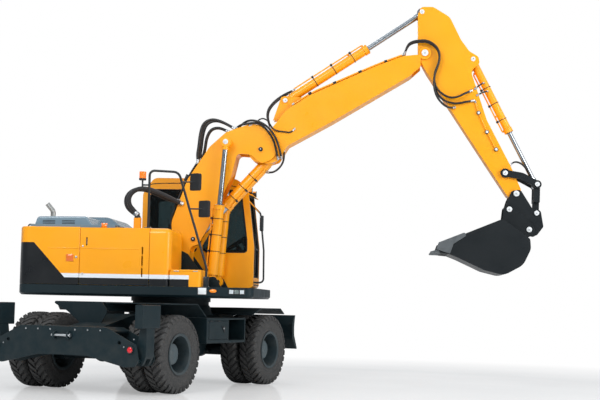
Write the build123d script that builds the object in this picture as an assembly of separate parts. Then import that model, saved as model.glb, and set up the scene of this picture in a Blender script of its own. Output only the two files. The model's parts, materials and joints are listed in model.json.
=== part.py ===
from build123d import *
import os
from math import atan2, cos, degrees, hypot, radians, sin

# Wheeled excavator with a two-piece boom, in millimetres.
# The upper structure faces +X, its left (cab) side is +Y, and the floor is Z = 0.
# The undercarriage is drawn facing +X too, and is then turned under the upper structure.

# Undercarriage driving dimensions
UNDER_TURN = 68.2
WHEELBASE = 2600
REAR_AXLE_X = -1715
FRONT_AXLE_X = REAR_AXLE_X + WHEELBASE
TYRE_RADIUS = 527.5
TYRE_WIDTH = 278
TREAD_DEPTH = 20
TREAD_PITCHES = 24
TREAD_GROOVE = 40
TREAD_SLANT = 38
OUTER_TYRE_Y = 1110
INNER_TYRE_Y = 785
BEAD_RADIUS = 254
FLANGE_RADIUS = 281
RIM_HALF = 130
RIM_WALL = 12
HUB_RADIUS = 145
HUB_FACE_Y = 1128
DISC_Y = 985
HUB_BACK_Y = 765
KINGPIN_Y = 700
YOKE_HALF = 122
YOKE_CHEEK = 43
AXLE_RADIUS = 105
DIFF_RADIUS = 140
SEAT_GAP = 0.3
RUN_GAP = 0.5
SIDE_GAP = 6
FRAME_HALF = 330
FRAME_TOP = 1040
FRAME_BELLY = 420
DECK_Z = 1180
RING_RADIUS = 570
RING_TOP = 1230
UPPER_BASE = 1247

BOX_DOOR_REAR_X = REAR_AXLE_X + 815
BOX_DOOR_FRONT_X = FRONT_AXLE_X - 1281
BOX_DOOR_Y = 1204

# Outriggers
BEAM_BACK_X = REAR_AXLE_X - 935
BEAM_FRONT_X = BEAM_BACK_X + 400
BEAM_PLATE = 25
LEG_MIDDLE_X = (BEAM_BACK_X + BEAM_FRONT_X) / 2
LEG_PIVOT = (1130, 455)
LEG_WIDTH = 190
PAD_WIDTH = 420
LEG_RAM_BASE = (400, 620)
LEG_RAM_EYE = (1160, 600)
LEG_PIN_RADIUS = 24
LEG_SLOT_HALF = 46

# Dozer blade on parallel links
BLADE_HALF = 1245
LINK_PIVOT = (FRONT_AXLE_X + 165, 510)
LINK_END = (FRONT_AXLE_X + 718, 790)
BLADE_X = LINK_END[0] + 87
LINK_RISE = 190
BLADE_RAM_BASE = (FRONT_AXLE_X + 135, 985)
BLADE_RAM_EYE = (FRONT_AXLE_X + 675, 815)
LINK_Y = 250
LINK_PIN_RADIUS = 18
BLADE_PIN_RADIUS = 16
BLADE_RAM_Y = 130

# Upper structure
BODY_HALF = 1245
SKIRT_TOP = 1440
DECK_FRONT_X = 1384
TAIL_X = -2200
TAIL_CORNER_X = -1930
COUNTER_FRONT_X = -1101
BAY_REAR_X = -1760
DOOR_FRONT_X = -108
TANK_FRONT_X = 200
TANK_INNER_Y = -350
FILLER = (-422, -600)
FILLER_TOP = 2443
HOOD_TOP = 2262
HOUSING_TOP = 2430
LOUVRE_ROWS = 3
LOUVRE_PITCH = 20
EXHAUST_RADIUS = 36
VENT_ROWS = 14
VENT_PITCH = 30
VENT_LOW = 1570
TOOL_FRONT_X = 640
TOOL_TOP = 1681
WALL = 40
GLASS = 6
PANEL_GAP = 6
PIVOT_INSET = 8
CAB_REAR_X = -560
BEACON_X = -250
CAB_FRONT_X = 1190
CAB_RIGHT_Y = 412
CAB_LEFT_Y = 1235
CAB_TOP = 3140
CAB_WALL = 50
DOOR_REAR_X = 170
CAB_HINGE_X = DOOR_REAR_X + PANEL_GAP / 2
CAB_HINGE_Z = (1760, 2600)
HINGE_RADIUS = 12
HINGE_STRAP = 45
HINGE_GAP = 0.2
HINGE_HEIGHT = 70

# Working equipment pins, as (x, z) in the boom's plane
BOOM_FOOT = (163, 1879)
BOOM_JOINT = (1331, 3527)
BOOM_TIP = (3763, 5006)
ARM_TIP = (5127, 2911)
LIFT_BASE = (660, 1542)
LIFT_EYE = (821, 3616)
LIFT_Y = 322
ADJUST_EYE = (345, 2165)
ADJUST_BASE = (1475, 3420)
ARM_RAM_BASE = (1675, 4285)
ARM_RAM_EYE = (3714, 5640)
BUCKET_RAM_BASE = (4481, 4924)
ROCKER_PIN = (4960, 3214)
ROCKER_TIP = (5430, 3052)
LINK_PIN = (5422, 2628)
BUCKET_PIN = (5312, 2382)
HOOK_PIN = (5022, 2676)

# Widths across the boom's plane
FOOT_HALF = 215
LOWER_HALF = 205
SIDE_PLATE = 25
TONGUE_HALF = 172
UPPER_HALF = 170
ARM_HALF = 140
ARM_EYE_PLAY = 150
ROCKER_Y = 160
ROCKER_PLATE = 28
BUCKET_HALF = 480
LIFT_PIN_RADIUS = 34
RAM_PIN_RADIUS = 30
ADJUST_PIN_RADIUS = 42
BUCKET_PIN_RADIUS = 44
BOOM_TIP_RADIUS = 42
ROCKER_PIN_RADIUS = 34
COUPLER_Y = 149
COUPLER_PLATE = 26

# Rams: barrel radius, rod radius, barrel length, eye radius
LIFT_RAM = (72, 40, 1130, 78)
ADJUST_RAM = (92, 52, 1010, 88)
ARM_RAM = (68, 40, 1474, 75)
BUCKET_RAM = (58, 35, 1215, 66)
LEG_RAM = (52, 30, 520, 44)
BLADE_RAM = (42, 25, 400, 40)


def outline(table):
    """A closed face from rows of (first, second, corner radius)."""
    points = [(row[0], row[1]) for row in table]
    return make_face(FilletPolyline(*points, radius=[row[2] for row in table], close=True))


def prism_y(table, low, high):
    """Rows of (x, z, corner radius) drawn out from y = low to y = high."""
    return extrude(Pos(0, high, 0) * (Plane.XZ * outline(table)), amount=high - low)


def prism_z(table, low, high):
    """Rows of (x, y, corner radius) drawn out from z = low to z = high."""
    return extrude(Pos(0, 0, low) * outline(table), amount=high - low)


def prism_x(table, low, high):
    """Rows of (y, z, corner radius) drawn out from x = low to x = high."""
    return extrude(Pos(low, 0, 0) * (Plane.YZ * outline(table)), amount=high - low)


def block(x_low, x_high, y_low, y_high, z_low, z_high):
    """A box between six planes."""
    centre = Pos((x_low + x_high) / 2, (y_low + y_high) / 2, (z_low + z_high) / 2)
    return centre * Box(x_high - x_low, y_high - y_low, z_high - z_low)


def rod_y(place, radius, low, high):
    """A round bar across the machine at (x, z)."""
    x, z = place
    return Pos(x, (low + high) / 2, z) * Rot(90, 0, 0) * Cylinder(radius, high - low)


def rod_x(place, radius, low, high):
    """A round bar along the machine at (y, z)."""
    y, z = place
    return Pos((low + high) / 2, y, z) * Rot(0, 90, 0) * Cylinder(radius, high - low)


def rod_z(place, radius, low, high):
    """An upright round bar at (x, y)."""
    x, y = place
    return Pos(x, y, (low + high) / 2) * Cylinder(radius, high - low)


def both_sides(shape):
    """A shape and its mirror image across the machine's middle plane."""
    return [shape, mirror(shape, about=Plane.XZ)]


def joined(shapes):
    """Every shape fused into one."""
    total = shapes[0]
    for shape in shapes[1:]:
        total = total + shape
    return total


def tube(points, radius, bends):
    """A round tube along straight runs with bent corners."""
    path = FilletPolyline(*points, radius=bends)
    start = Plane(origin=path @ 0, z_dir=path % 0)
    return sweep(start * Circle(radius), path=path)


def ram(base, eye, sizes, centre_y, eye_half, rod_start, base_pin):
    """A hydraulic ram from its base pin's bore to its rod's eye: (barrel, rod)."""
    barrel_radius, rod_radius, barrel_length, eye_radius = sizes
    span = hypot(eye[0] - base[0], eye[1] - base[1])
    turn = degrees(atan2(eye[1] - base[1], eye[0] - base[0]))
    place = Pos(base[0], centre_y, base[1]) * Rot(0, -turn, 0)
    gland = 70
    shoulder = eye_radius + 15
    barrel = rod_x((0, 0), barrel_radius, shoulder, barrel_length)
    barrel += rod_x((0, 0), eye_half - 4, eye_radius * 0.6, shoulder + 1)
    barrel += rod_x((0, 0), barrel_radius + 8, barrel_length - gland, barrel_length)
    barrel += rod_y((0, 0), eye_radius, -eye_half, eye_half)
    barrel -= rod_x((0, 0), rod_radius + RUN_GAP, eye_radius + 25, barrel_length + 1)
    barrel -= rod_y((0, 0), base_pin + RUN_GAP, -eye_half - 1, eye_half + 1)
    rod = rod_x((0, 0), rod_radius, rod_start, span - eye_radius * 0.3)
    rod += rod_x((0, 0), rod_radius + 10, span - eye_radius - 40, span - eye_radius * 0.6)
    rod += rod_y((span, 0), eye_radius, -eye_half, eye_half)
    return place * barrel, place * rod


def traction_tyre():
    """One tyre round the Y axis, with two rows of slanted grooves between its lugs."""
    half = TYRE_WIDTH / 2
    bead_half = RIM_HALF - RIM_WALL - 2
    # Rows are (offset from the tyre's middle, radius, corner radius).
    section = [
        (-bead_half, BEAD_RADIUS + SEAT_GAP, 0),
        (-bead_half, FLANGE_RADIUS + 4, 0),
        (-half, FLANGE_RADIUS + 90, 0),
        (-half + 6, TYRE_RADIUS - 60, 0),
        (-half + 26, TYRE_RADIUS, 0),
        (half - 26, TYRE_RADIUS, 0),
        (half - 6, TYRE_RADIUS - 60, 0),
        (half, FLANGE_RADIUS + 90, 0),
        (bead_half, FLANGE_RADIUS + 4, 0),
        (bead_half, BEAD_RADIUS + SEAT_GAP, 0),
    ]
    tyre = revolve(outline(section), axis=Axis.X)
    tyre = Rot(0, 0, 90) * tyre
    grooves = []
    for row in (-1, 1):
        for index in range(TREAD_PITCHES):
            turn = 360 / TREAD_PITCHES * (index + row / 4)
            groove = Rot(0, 0, row * TREAD_SLANT) * Box(TREAD_GROOVE, half + 20, 2 * TREAD_DEPTH)
            grooves.append(Rot(0, turn, 0) * Pos(0, row * (half / 2 + 6), TYRE_RADIUS) * groove)
    return tyre - grooves


def wheel_pair(tyre, sign, axle_x):
    """Twin tyres and their rims with the hub, on one side: (tyres, rims)."""
    tyres = []
    for middle in (INNER_TYRE_Y, OUTER_TYRE_Y):
        tyres.append(Pos(axle_x, sign * middle, TYRE_RADIUS) * tyre)
    inner_edge = INNER_TYRE_Y - RIM_HALF
    outer_edge = OUTER_TYRE_Y + RIM_HALF
    rim = Pos(0, 0, 0) * ring_x(BEAD_RADIUS, BEAD_RADIUS - RIM_WALL, inner_edge, outer_edge)
    for middle in (INNER_TYRE_Y, OUTER_TYRE_Y):
        for edge in (-1, 1):
            near = middle + edge * (RIM_HALF - RIM_WALL / 2)
            low = near - RIM_WALL / 2
            rim += ring_x(FLANGE_RADIUS, BEAD_RADIUS - RIM_WALL, low, low + RIM_WALL)
    rim += rod_x((0, 0), BEAD_RADIUS - 2, DISC_Y - 10, DISC_Y + 10)
    hub = [
        (HUB_BACK_Y, 0, 0),
        (HUB_BACK_Y, HUB_RADIUS - 5, 0),
        (DISC_Y, HUB_RADIUS + 15, 0),
        (DISC_Y + 40, HUB_RADIUS + 15, 0),
        (DISC_Y + 50, HUB_RADIUS, 0),
        (HUB_FACE_Y - 25, HUB_RADIUS, 20),
        (HUB_FACE_Y, HUB_RADIUS - 30, 0),
        (HUB_FACE_Y, 0, 0),
    ]
    rim += revolve(outline(hub), axis=Axis.X)
    rim = Rot(0, 0, 90) * rim
    if sign < 0:
        rim = mirror(rim, about=Plane.XZ)
    return Compound(children=tyres), Pos(axle_x, 0, TYRE_RADIUS) * rim


def ring_x(outer, inner, low, high):
    """A ring round the X axis."""
    return rod_x((0, 0), outer, low, high) - rod_x((0, 0), inner, low - 1, high + 1)


def chassis_frame():
    """Welded main frame with the slewing ring's pedestal, gearbox and wheel guards."""
    # Rows are (x, z, corner radius) of the side view.
    side = [
        (BEAM_FRONT_X, 690, 0),
        (BEAM_FRONT_X, 850, 30),
        (REAR_AXLE_X + 215, FRAME_TOP - 30, 60),
        (REAR_AXLE_X + 415, FRAME_TOP, 60),
        (FRONT_AXLE_X - 185, FRAME_TOP, 60),
        (FRONT_AXLE_X + 555, 900, 60),
        (FRONT_AXLE_X + 555, 690, 30),
        (FRONT_AXLE_X - 285, 690, 40),
        (FRONT_AXLE_X - 455, FRAME_BELLY, 60),
        (REAR_AXLE_X + 485, FRAME_BELLY, 60),
        (REAR_AXLE_X + 295, 690, 0),
    ]
    frame = prism_y(side, -FRAME_HALF, FRAME_HALF)
    # The rear arm of the frame is narrower than the middle.
    waist = FRAME_HALF - 60
    for sign in (-1, 1):
        edge = sorted((sign * waist, sign * (FRAME_HALF + 1)))
        frame -= block(BEAM_FRONT_X - 1, REAR_AXLE_X + 385, edge[0], edge[1], 500, FRAME_TOP + 1)
    # Ring pedestal, flaring down onto the frame.
    frame += Pos(0, 0, FRAME_TOP - 1) * Cone(
        RING_RADIUS + 60, RING_RADIUS + 10, DECK_Z - FRAME_TOP + 1, align=(Align.CENTER, Align.CENTER, Align.MIN)
    )
    frame += rod_z((0, 0), RING_RADIUS, DECK_Z - 1, RING_TOP)
    # Axle saddles.
    for axle_x in (REAR_AXLE_X, FRONT_AXLE_X):
        saddle = block(axle_x - 120, axle_x + 120, -200, 200, TYRE_RADIUS + AXLE_RADIUS + 40, 700)
        frame += saddle
    # Slots at the front end leave upright plates between the blade's rams and links.
    slot_end = FRONT_AXLE_X + 615
    for sign in (-1, 1):
        ram_slot = sorted((sign * (BLADE_RAM_Y - 64), sign * (BLADE_RAM_Y + 66)))
        frame -= block(FRONT_AXLE_X + 60, slot_end, ram_slot[0], ram_slot[1], 600, FRAME_TOP + 1)
        link_slot = sorted((sign * (LINK_Y - 34), sign * (LINK_Y + 34)))
        frame -= block(FRONT_AXLE_X + 95, slot_end, link_slot[0], link_slot[1], 600, FRAME_TOP + 1)
        for height in (LINK_PIVOT[1], LINK_PIVOT[1] + LINK_RISE):
            pin = (LINK_PIVOT[0], height)
            frame += rod_y(pin, LINK_PIN_RADIUS, sign * LINK_Y - 36, sign * LINK_Y + 36)
        frame += rod_y(BLADE_RAM_BASE, BLADE_PIN_RADIUS, sign * BLADE_RAM_Y - 66, sign * BLADE_RAM_Y + 68)
    # Blade link brackets reach down and the ram brackets up at the front end.
    for sign in (-1, 1):
        for y in (sign * (LINK_Y - 45), sign * (LINK_Y + 45)):
            bracket = [
                (LINK_PIVOT[0] - 60, 700, 0),
                (LINK_PIVOT[0] - 60, LINK_PIVOT[1] - 20, 30),
                (LINK_PIVOT[0], LINK_PIVOT[1] - 55, 30),
                (LINK_PIVOT[0] + 60, LINK_PIVOT[1] - 20, 30),
                (LINK_PIVOT[0] + 60, 700, 0),
            ]
            frame += prism_y(bracket, y - 11, y + 11)
        for y in (sign * (BLADE_RAM_Y - 72), sign * (BLADE_RAM_Y + 74)):
            bracket = [
                (BLADE_RAM_BASE[0] - 70, 850, 0),
                (BLADE_RAM_BASE[0] - 50, BLADE_RAM_BASE[1] + 45, 40),
                (BLADE_RAM_BASE[0] + 50, BLADE_RAM_BASE[1] + 45, 40),
                (BLADE_RAM_BASE[0] + 70, 850, 0),
            ]
            frame += prism_y(bracket, y - 8, y + 8)
    # Wheel guards: the right rear one slopes down to the tool box, and both front ones are arched.
    right_rear = [
        (REAR_AXLE_X - 415, 1203, 0),
        (REAR_AXLE_X + 495, 1203, 20),
        (REAR_AXLE_X + 735, 1030, 0),
        (REAR_AXLE_X + 735, 1016, 0),
        (REAR_AXLE_X + 490, 1191, 20),
        (REAR_AXLE_X - 415, 1191, 0),
    ]
    frame += prism_y(right_rear, -1200, -FRAME_HALF + 20)
    bracket_x = REAR_AXLE_X + 385
    frame += block(bracket_x, bracket_x + 130, -FRAME_HALF - 40, -FRAME_HALF + 20, 1000, 1195)
    # Sloping cover between the rear arm and the deck.
    cover = [
        (780, 1210, 20),
        (500, 1080, 60),
        (230, 890, 0),
        (-60, 890, 0),
        (-185, 1080, 60),
        (-80, 1210, 20),
    ]
    frame += prism_x(cover, REAR_AXLE_X - 190, REAR_AXLE_X - 178)
    front = [
        (FRONT_AXLE_X - 555, 1060, 0),
        (FRONT_AXLE_X - 265, 1155, 30),
        (FRONT_AXLE_X + 375, 1155, 30),
        (FRONT_AXLE_X + 505, 1075, 0),
        (FRONT_AXLE_X + 499, 1065, 0),
        (FRONT_AXLE_X + 373, 1143, 30),
        (FRONT_AXLE_X - 263, 1143, 30),
        (FRONT_AXLE_X - 551, 1049, 0),
    ]
    for sign in (-1, 1):
        span = sorted((sign * 1215, sign * (FRAME_HALF - 20)))
        frame += prism_y(front, span[0], span[1])
        post = sorted((sign * (FRAME_HALF - 30), sign * (FRAME_HALF)))
        frame += block(FRONT_AXLE_X - 245, FRONT_AXLE_X + 15, post[0], post[1], FRAME_TOP - 60, 1150)
    # Left step deck with flared ends.
    left = [
        (REAR_AXLE_X + 465, 1205, 0),
        (FRONT_AXLE_X - 855, 1205, 0),
        (FRONT_AXLE_X - 945, 1080, 20),
        (REAR_AXLE_X + 555, 1080, 20),
    ]
    frame += prism_y(left, FRAME_HALF - 20, 1180)
    # Slewing gearbox and transmission under the frame.
    frame += rod_z((-250, 0), 190, 360, FRAME_BELLY + 5)
    frame += block(-700, -350, -140, 140, 355, FRAME_BELLY + 5)
    return frame


def rear_axle():
    """Driving axle with its differential, fixed under the frame."""
    z = TYRE_RADIUS
    axle = rod_y((REAR_AXLE_X, z), AXLE_RADIUS, -640, 640)
    axle += Pos(REAR_AXLE_X, 0, z) * Sphere(DIFF_RADIUS)
    axle += rod_x((0, z), 95, REAR_AXLE_X, REAR_AXLE_X + 290)
    for sign in (-1, 1):
        span = sorted((sign * 600, sign * (HUB_BACK_Y - SEAT_GAP)))
        axle += rod_y((REAR_AXLE_X, z), 130, span[0], span[1])
        pad = sorted((sign * 150, sign * 260))
        axle += block(REAR_AXLE_X - 100, REAR_AXLE_X + 100, pad[0], pad[1], z, z + AXLE_RADIUS + 40)
    return axle


def front_axle():
    """Steering axle beam with its differential, kingpin yokes and steering ram."""
    z = TYRE_RADIUS
    x = FRONT_AXLE_X
    axle = rod_y((x, z), AXLE_RADIUS, -610, 610)
    axle += Pos(x, 0, z) * Sphere(DIFF_RADIUS)
    axle += rod_x((0, z), 90, x - 290, x)
    axle += rod_y((x - 150, z - 30), 36, -260, 260)
    axle += block(x - 150, x, -120, 120, z - 60, z)
    for sign in (-1, 1):
        pad = sorted((sign * 150, sign * 240))
        axle += block(x - 100, x + 100, pad[0], pad[1], z, z + AXLE_RADIUS + 40)
        # The cheeks end round, so that the hub's back turns past them.
        yoke_radius = HUB_BACK_Y - KINGPIN_Y - SIDE_GAP
        top = YOKE_HALF + YOKE_CHEEK
        yoke = sorted((sign * 560, sign * KINGPIN_Y))
        cheek = block(x - yoke_radius, x + yoke_radius, yoke[0], yoke[1], z - top, z + top)
        cheek += rod_z((x, sign * KINGPIN_Y), yoke_radius, z - top, z + top)
        slot = sorted((sign * (KINGPIN_Y - 82), sign * (KINGPIN_Y + 100)))
        cheek -= block(x - 100, x + 100, slot[0], slot[1], z - YOKE_HALF, z + YOKE_HALF)
        axle += cheek
    return axle


def knuckle(sign):
    """Steering knuckle that turns in the yoke and carries the hub."""
    z = TYRE_RADIUS
    x = FRONT_AXLE_X
    body = rod_z((x, sign * KINGPIN_Y), 62, z - YOKE_HALF + RUN_GAP, z + YOKE_HALF - RUN_GAP)
    span = sorted((sign * KINGPIN_Y, sign * (HUB_BACK_Y - SEAT_GAP)))
    body += rod_y((x, z), 105, span[0], span[1])
    arm = [
        (x - 40, sign * (KINGPIN_Y - 25), 0),
        (x - 40, sign * (KINGPIN_Y + 45), 0),
        (x - 200, sign * (KINGPIN_Y + 15), 20),
        (x - 200, sign * (KINGPIN_Y - 30), 20),
    ]
    body += prism_z(arm, z - 50, z - 15)
    return body


def outrigger_frame():
    """Transverse beam of two arched plates with the covers, tow lugs and lamps."""
    # Rows are (y, z, corner radius) of one half, then mirrored.
    half = [
        (0, 880, 0),
        (690, 880, 40),
        (1148, 668, 30),
        (1192, 470, 60),
        (1140, 392, 60),
        (990, 380, 60),
        (400, 505, 120),
        (0, 510, 0),
    ]
    plates = []
    for low in (BEAM_BACK_X, BEAM_FRONT_X - BEAM_PLATE):
        plate = prism_x(half, low, low + BEAM_PLATE)
        plates += both_sides(plate)
    beam = joined(plates)
    inner = (BEAM_BACK_X + BEAM_PLATE - 1, BEAM_FRONT_X - BEAM_PLATE + 1)
    beam += block(inner[0], inner[1], -680, 680, 855, 880)
    cover = [
        (670, 880, 0),
        (695, 880, 0),
        (800, 831, 0),
        (790, 806, 0),
        (680, 855, 0),
    ]
    for piece in both_sides(prism_x(cover, inner[0], inner[1])):
        beam += piece
    # Middle webs hold the rams' base pins.
    for sign in (-1, 1):
        web = sorted((sign * 250, sign * 275))
        beam += block(inner[0], inner[1], web[0], web[1], 540, 860)
        beam += rod_x((sign * LEG_RAM_BASE[0], LEG_RAM_BASE[1]), LEG_PIN_RADIUS, inner[0], inner[1])
        # Stub pins leave the middle open, because the ram swings past the leg's pivot.
        for low, high in (
            (inner[0], LEG_MIDDLE_X - LEG_SLOT_HALF - SIDE_GAP),
            (LEG_MIDDLE_X + LEG_SLOT_HALF + SIDE_GAP, inner[1]),
        ):
            beam += rod_x((sign * LEG_PIVOT[0], LEG_PIVOT[1]), 30, low, high)
        lamp = rod_x((sign * 1075, 605), 45, BEAM_BACK_X - 22, BEAM_BACK_X + 1)
        beam += lamp
        lug = [
            (BEAM_BACK_X + 1, 820, 0),
            (BEAM_BACK_X - 60, 800, 30),
            (BEAM_BACK_X - 60, 730, 30),
            (BEAM_BACK_X + 1, 710, 0),
        ]
        beam += prism_y(lug, sign * 110 - 14, sign * 110 + 14)
        beam -= rod_x((sign * 895, 689), 26, BEAM_BACK_X - 1, BEAM_BACK_X + BEAM_PLATE + 1)
    beam -= rod_y((BEAM_BACK_X - 30, 765), 18, -200, 200)
    return beam


def outrigger_leg(sign):
    """Swinging leg folded upright, with its foot box."""
    middle = LEG_MIDDLE_X
    # Rows are (y, z, corner radius).
    side = [
        (1085, 400, 40),
        (1180, 400, 40),
        (1238, 520, 40),
        (1238, 900, 0),
        (1140, 900, 0),
        (1100, 640, 40),
    ]
    leg = prism_x(side, middle - LEG_WIDTH / 2, middle + LEG_WIDTH / 2)
    pad = block(middle - PAD_WIDTH / 2, middle + PAD_WIDTH / 2, 1132, 1248, 880, 1180)
    pad = fillet(pad.edges().filter_by(Axis.X), 12)
    leg += pad
    leg -= rod_x(LEG_PIVOT, 30 + RUN_GAP, middle - LEG_WIDTH, middle + LEG_WIDTH)
    # The ram's eye swings in a slot through the leg's inner face.
    leg -= block(middle - LEG_SLOT_HALF, middle + LEG_SLOT_HALF, 1050, 1222, 390, 704)
    if sign < 0:
        leg = mirror(leg, about=Plane.XZ)
    return leg


def outrigger_ram(sign):
    """The leg's ram inside the beam: (barrel, rod)."""
    middle = LEG_MIDDLE_X
    barrel, rod = ram(LEG_RAM_BASE, LEG_RAM_EYE, LEG_RAM, 0, 30, 420, LEG_PIN_RADIUS)
    turn = Pos(middle, 0, 0) * Rot(0, 0, 90)
    barrel = turn * barrel
    rod = turn * rod
    if sign < 0:
        barrel = mirror(barrel, about=Plane.XZ)
        rod = mirror(rod, about=Plane.XZ)
    return barrel, rod


def dozer_blade():
    """Curved blade with its top flange, end plates and link ears."""
    face = [
        (BLADE_X + 10, 1050, 0),
        (BLADE_X + 26, 1050, 0),
        (BLADE_X - 6, 900, 120),
        (BLADE_X, 740, 120),
        (BLADE_X + 105, 525, 0),
        (BLADE_X + 78, 520, 0),
        (BLADE_X - 18, 700, 140),
        (BLADE_X - 26, 900, 140),
    ]
    blade = prism_y(face, -BLADE_HALF, BLADE_HALF)
    rib = [
        (BLADE_X + 22, 1048, 0),
        (BLADE_X - 4, 880, 0),
        (BLADE_X - 6, 760, 0),
        (BLADE_X + 85, 530, 0),
        (BLADE_X + 60, 530, 0),
        (BLADE_X - 65, 700, 60),
        (BLADE_X - 68, 930, 60),
        (BLADE_X, 1048, 0),
    ]
    for y in (-BLADE_HALF, -820, 806, BLADE_HALF - 14):
        blade += prism_y(rib, y, y + 14)
    upper = (LINK_END[0], LINK_END[1] + LINK_RISE)
    for sign in (-1, 1):
        for y in (sign * (LINK_Y - 42), sign * (LINK_Y + 42)):
            ear = [
                (BLADE_X, 1040, 0),
                (upper[0] - 40, upper[1] + 35, 30),
                (upper[0] - 40, LINK_END[1] - 45, 30),
                (LINK_END[0] + 30, LINK_END[1] - 60, 30),
                (BLADE_X, 690, 0),
            ]
            blade += prism_y(ear, y - 11, y + 11)
        for pin in (LINK_END, upper):
            blade += rod_y(pin, LINK_PIN_RADIUS, sign * LINK_Y - 34, sign * LINK_Y + 34)
        for y in (sign * (BLADE_RAM_Y - 45), sign * (BLADE_RAM_Y + 45)):
            ear = [
                (BLADE_X, 960, 0),
                (BLADE_RAM_EYE[0] - 40, BLADE_RAM_EYE[1] + 50, 30),
                (BLADE_RAM_EYE[0] - 40, BLADE_RAM_EYE[1] - 40, 30),
                (BLADE_X, 740, 0),
            ]
            blade += prism_y(ear, y - 10, y + 10)
    return blade


def blade_links(rise):
    """One pair of parallel links between the frame and the blade."""
    start = (LINK_PIVOT[0], LINK_PIVOT[1] + rise)
    end = (LINK_END[0], LINK_END[1] + rise)
    pair = []
    for sign in (-1, 1):
        y = sign * LINK_Y
        link = rod_y(start, 38, y - 27, y + 27) + rod_y(end, 34, y - 27, y + 27)
        length = hypot(end[0] - start[0], end[1] - start[1])
        turn = degrees(atan2(end[1] - start[1], end[0] - start[0]))
        link += Pos(start[0], y, start[1]) * Rot(0, -turn, 0) * block(0, length, -22, 22, -26, 26)
        for pin in (start, end):
            link -= rod_y(pin, LINK_PIN_RADIUS + RUN_GAP, y - 28, y + 28)
        pair.append(link)
    return pair


def deck_plan(front):
    """Plan of the turning deck: square front, rounded tail."""
    corners = [(TAIL_CORNER_X, BODY_HALF), (front, BODY_HALF), (front, -BODY_HALF), (TAIL_CORNER_X, -BODY_HALF)]
    edge = Polyline(*corners)
    tail = ThreePointArc((TAIL_CORNER_X, -BODY_HALF), (TAIL_X, 0), (TAIL_CORNER_X, BODY_HALF))
    return make_face([edge, tail])


def deck():
    """Turning deck with its side skirts and the brackets for the boom and lift rams."""
    plan = deck_plan(DECK_FRONT_X)
    plate = extrude(Pos(0, 0, UPPER_BASE + 45) * plan, amount=SKIRT_TOP - UPPER_BASE - 45)
    corners = plate.edges().filter_by(Axis.Z)
    plate = fillet(corners, 110)
    bottom = plate.faces().sort_by(Axis.Z)[0]
    plate = chamfer(bottom.edges(), 30)
    plate += rod_z((0, 0), RING_RADIUS + 25, RING_TOP + SEAT_GAP, UPPER_BASE + 60)
    # Boom foot cheeks and lift ram brackets.
    for sign in (-1, 1):
        cheek = [
            (-330, SKIRT_TOP - 5, 0),
            (40, BOOM_FOOT[1] + 60, 90),
            (140, BOOM_FOOT[1] + 130, 90),
            (280, BOOM_FOOT[1] + 60, 90),
            (560, SKIRT_TOP + 120, 60),
            (800, SKIRT_TOP - 5, 0),
        ]
        span = sorted((sign * (FOOT_HALF + SIDE_GAP), sign * (FOOT_HALF + SIDE_GAP + SIDE_PLATE)))
        plate += prism_y(cheek, span[0], span[1])
        outer = LIFT_Y + 62
        lug = [
            (LIFT_BASE[0] - 150, SKIRT_TOP - 5, 0),
            (LIFT_BASE[0] - 90, LIFT_BASE[1] + 50, 60),
            (LIFT_BASE[0] + 60, LIFT_BASE[1] + 70, 60),
            (LIFT_BASE[0] + 160, SKIRT_TOP - 5, 0),
        ]
        span = sorted((sign * outer, sign * (outer + 22)))
        plate += prism_y(lug, span[0], span[1])
    plate += rod_y(BOOM_FOOT, 50, FOOT_HALF - 10, FOOT_HALF + SIDE_GAP + SIDE_PLATE + 20)
    plate += rod_y(BOOM_FOOT, 50, -(FOOT_HALF + SIDE_GAP + SIDE_PLATE + 20), -FOOT_HALF + 10)
    # The lift rams' base pins cross between their brackets, over a pocket in the deck.
    for sign in (-1, 1):
        inner_face = FOOT_HALF + SIDE_GAP + SIDE_PLATE
        pocket = sorted((sign * inner_face, sign * (LIFT_Y + 62)))
        plate -= rod_y(LIFT_BASE, LIFT_RAM[3] + 25, pocket[0], pocket[1])
        pin_ends = sorted((sign * (inner_face - 2), sign * (LIFT_Y + 86)))
        plate += rod_y(LIFT_BASE, LIFT_PIN_RADIUS, pin_ends[0], pin_ends[1])
        # Side lamp and the cluster of lamps at the front corner.
        edge = sorted((sign * (BODY_HALF - 2), sign * (BODY_HALF + 8)))
        plate += rod_y((816, 1388), 28, edge[0], edge[1])
        plate += block(DECK_FRONT_X - 350, DECK_FRONT_X - 115, edge[0], edge[1], 1342, 1415)
    return plate


def counterweight():
    """Cast counterweight that closes the tail, with a rounded back and corners."""
    plan = deck_plan(COUNTER_FRONT_X - PANEL_GAP)
    mass = extrude(Pos(0, 0, SKIRT_TOP + SEAT_GAP) * plan, amount=HOOD_TOP - SKIRT_TOP - SEAT_GAP)
    keep = mass.edges().filter_by(Axis.Z).group_by(Axis.X)[0]
    mass = fillet(keep, 120)
    # The engine bay is cut into the counterweight's front.
    mass -= block(BAY_REAR_X, COUNTER_FRONT_X + 1, -BODY_HALF + 110, BODY_HALF - 110, SKIRT_TOP, HOOD_TOP + 1)
    return mass


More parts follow.
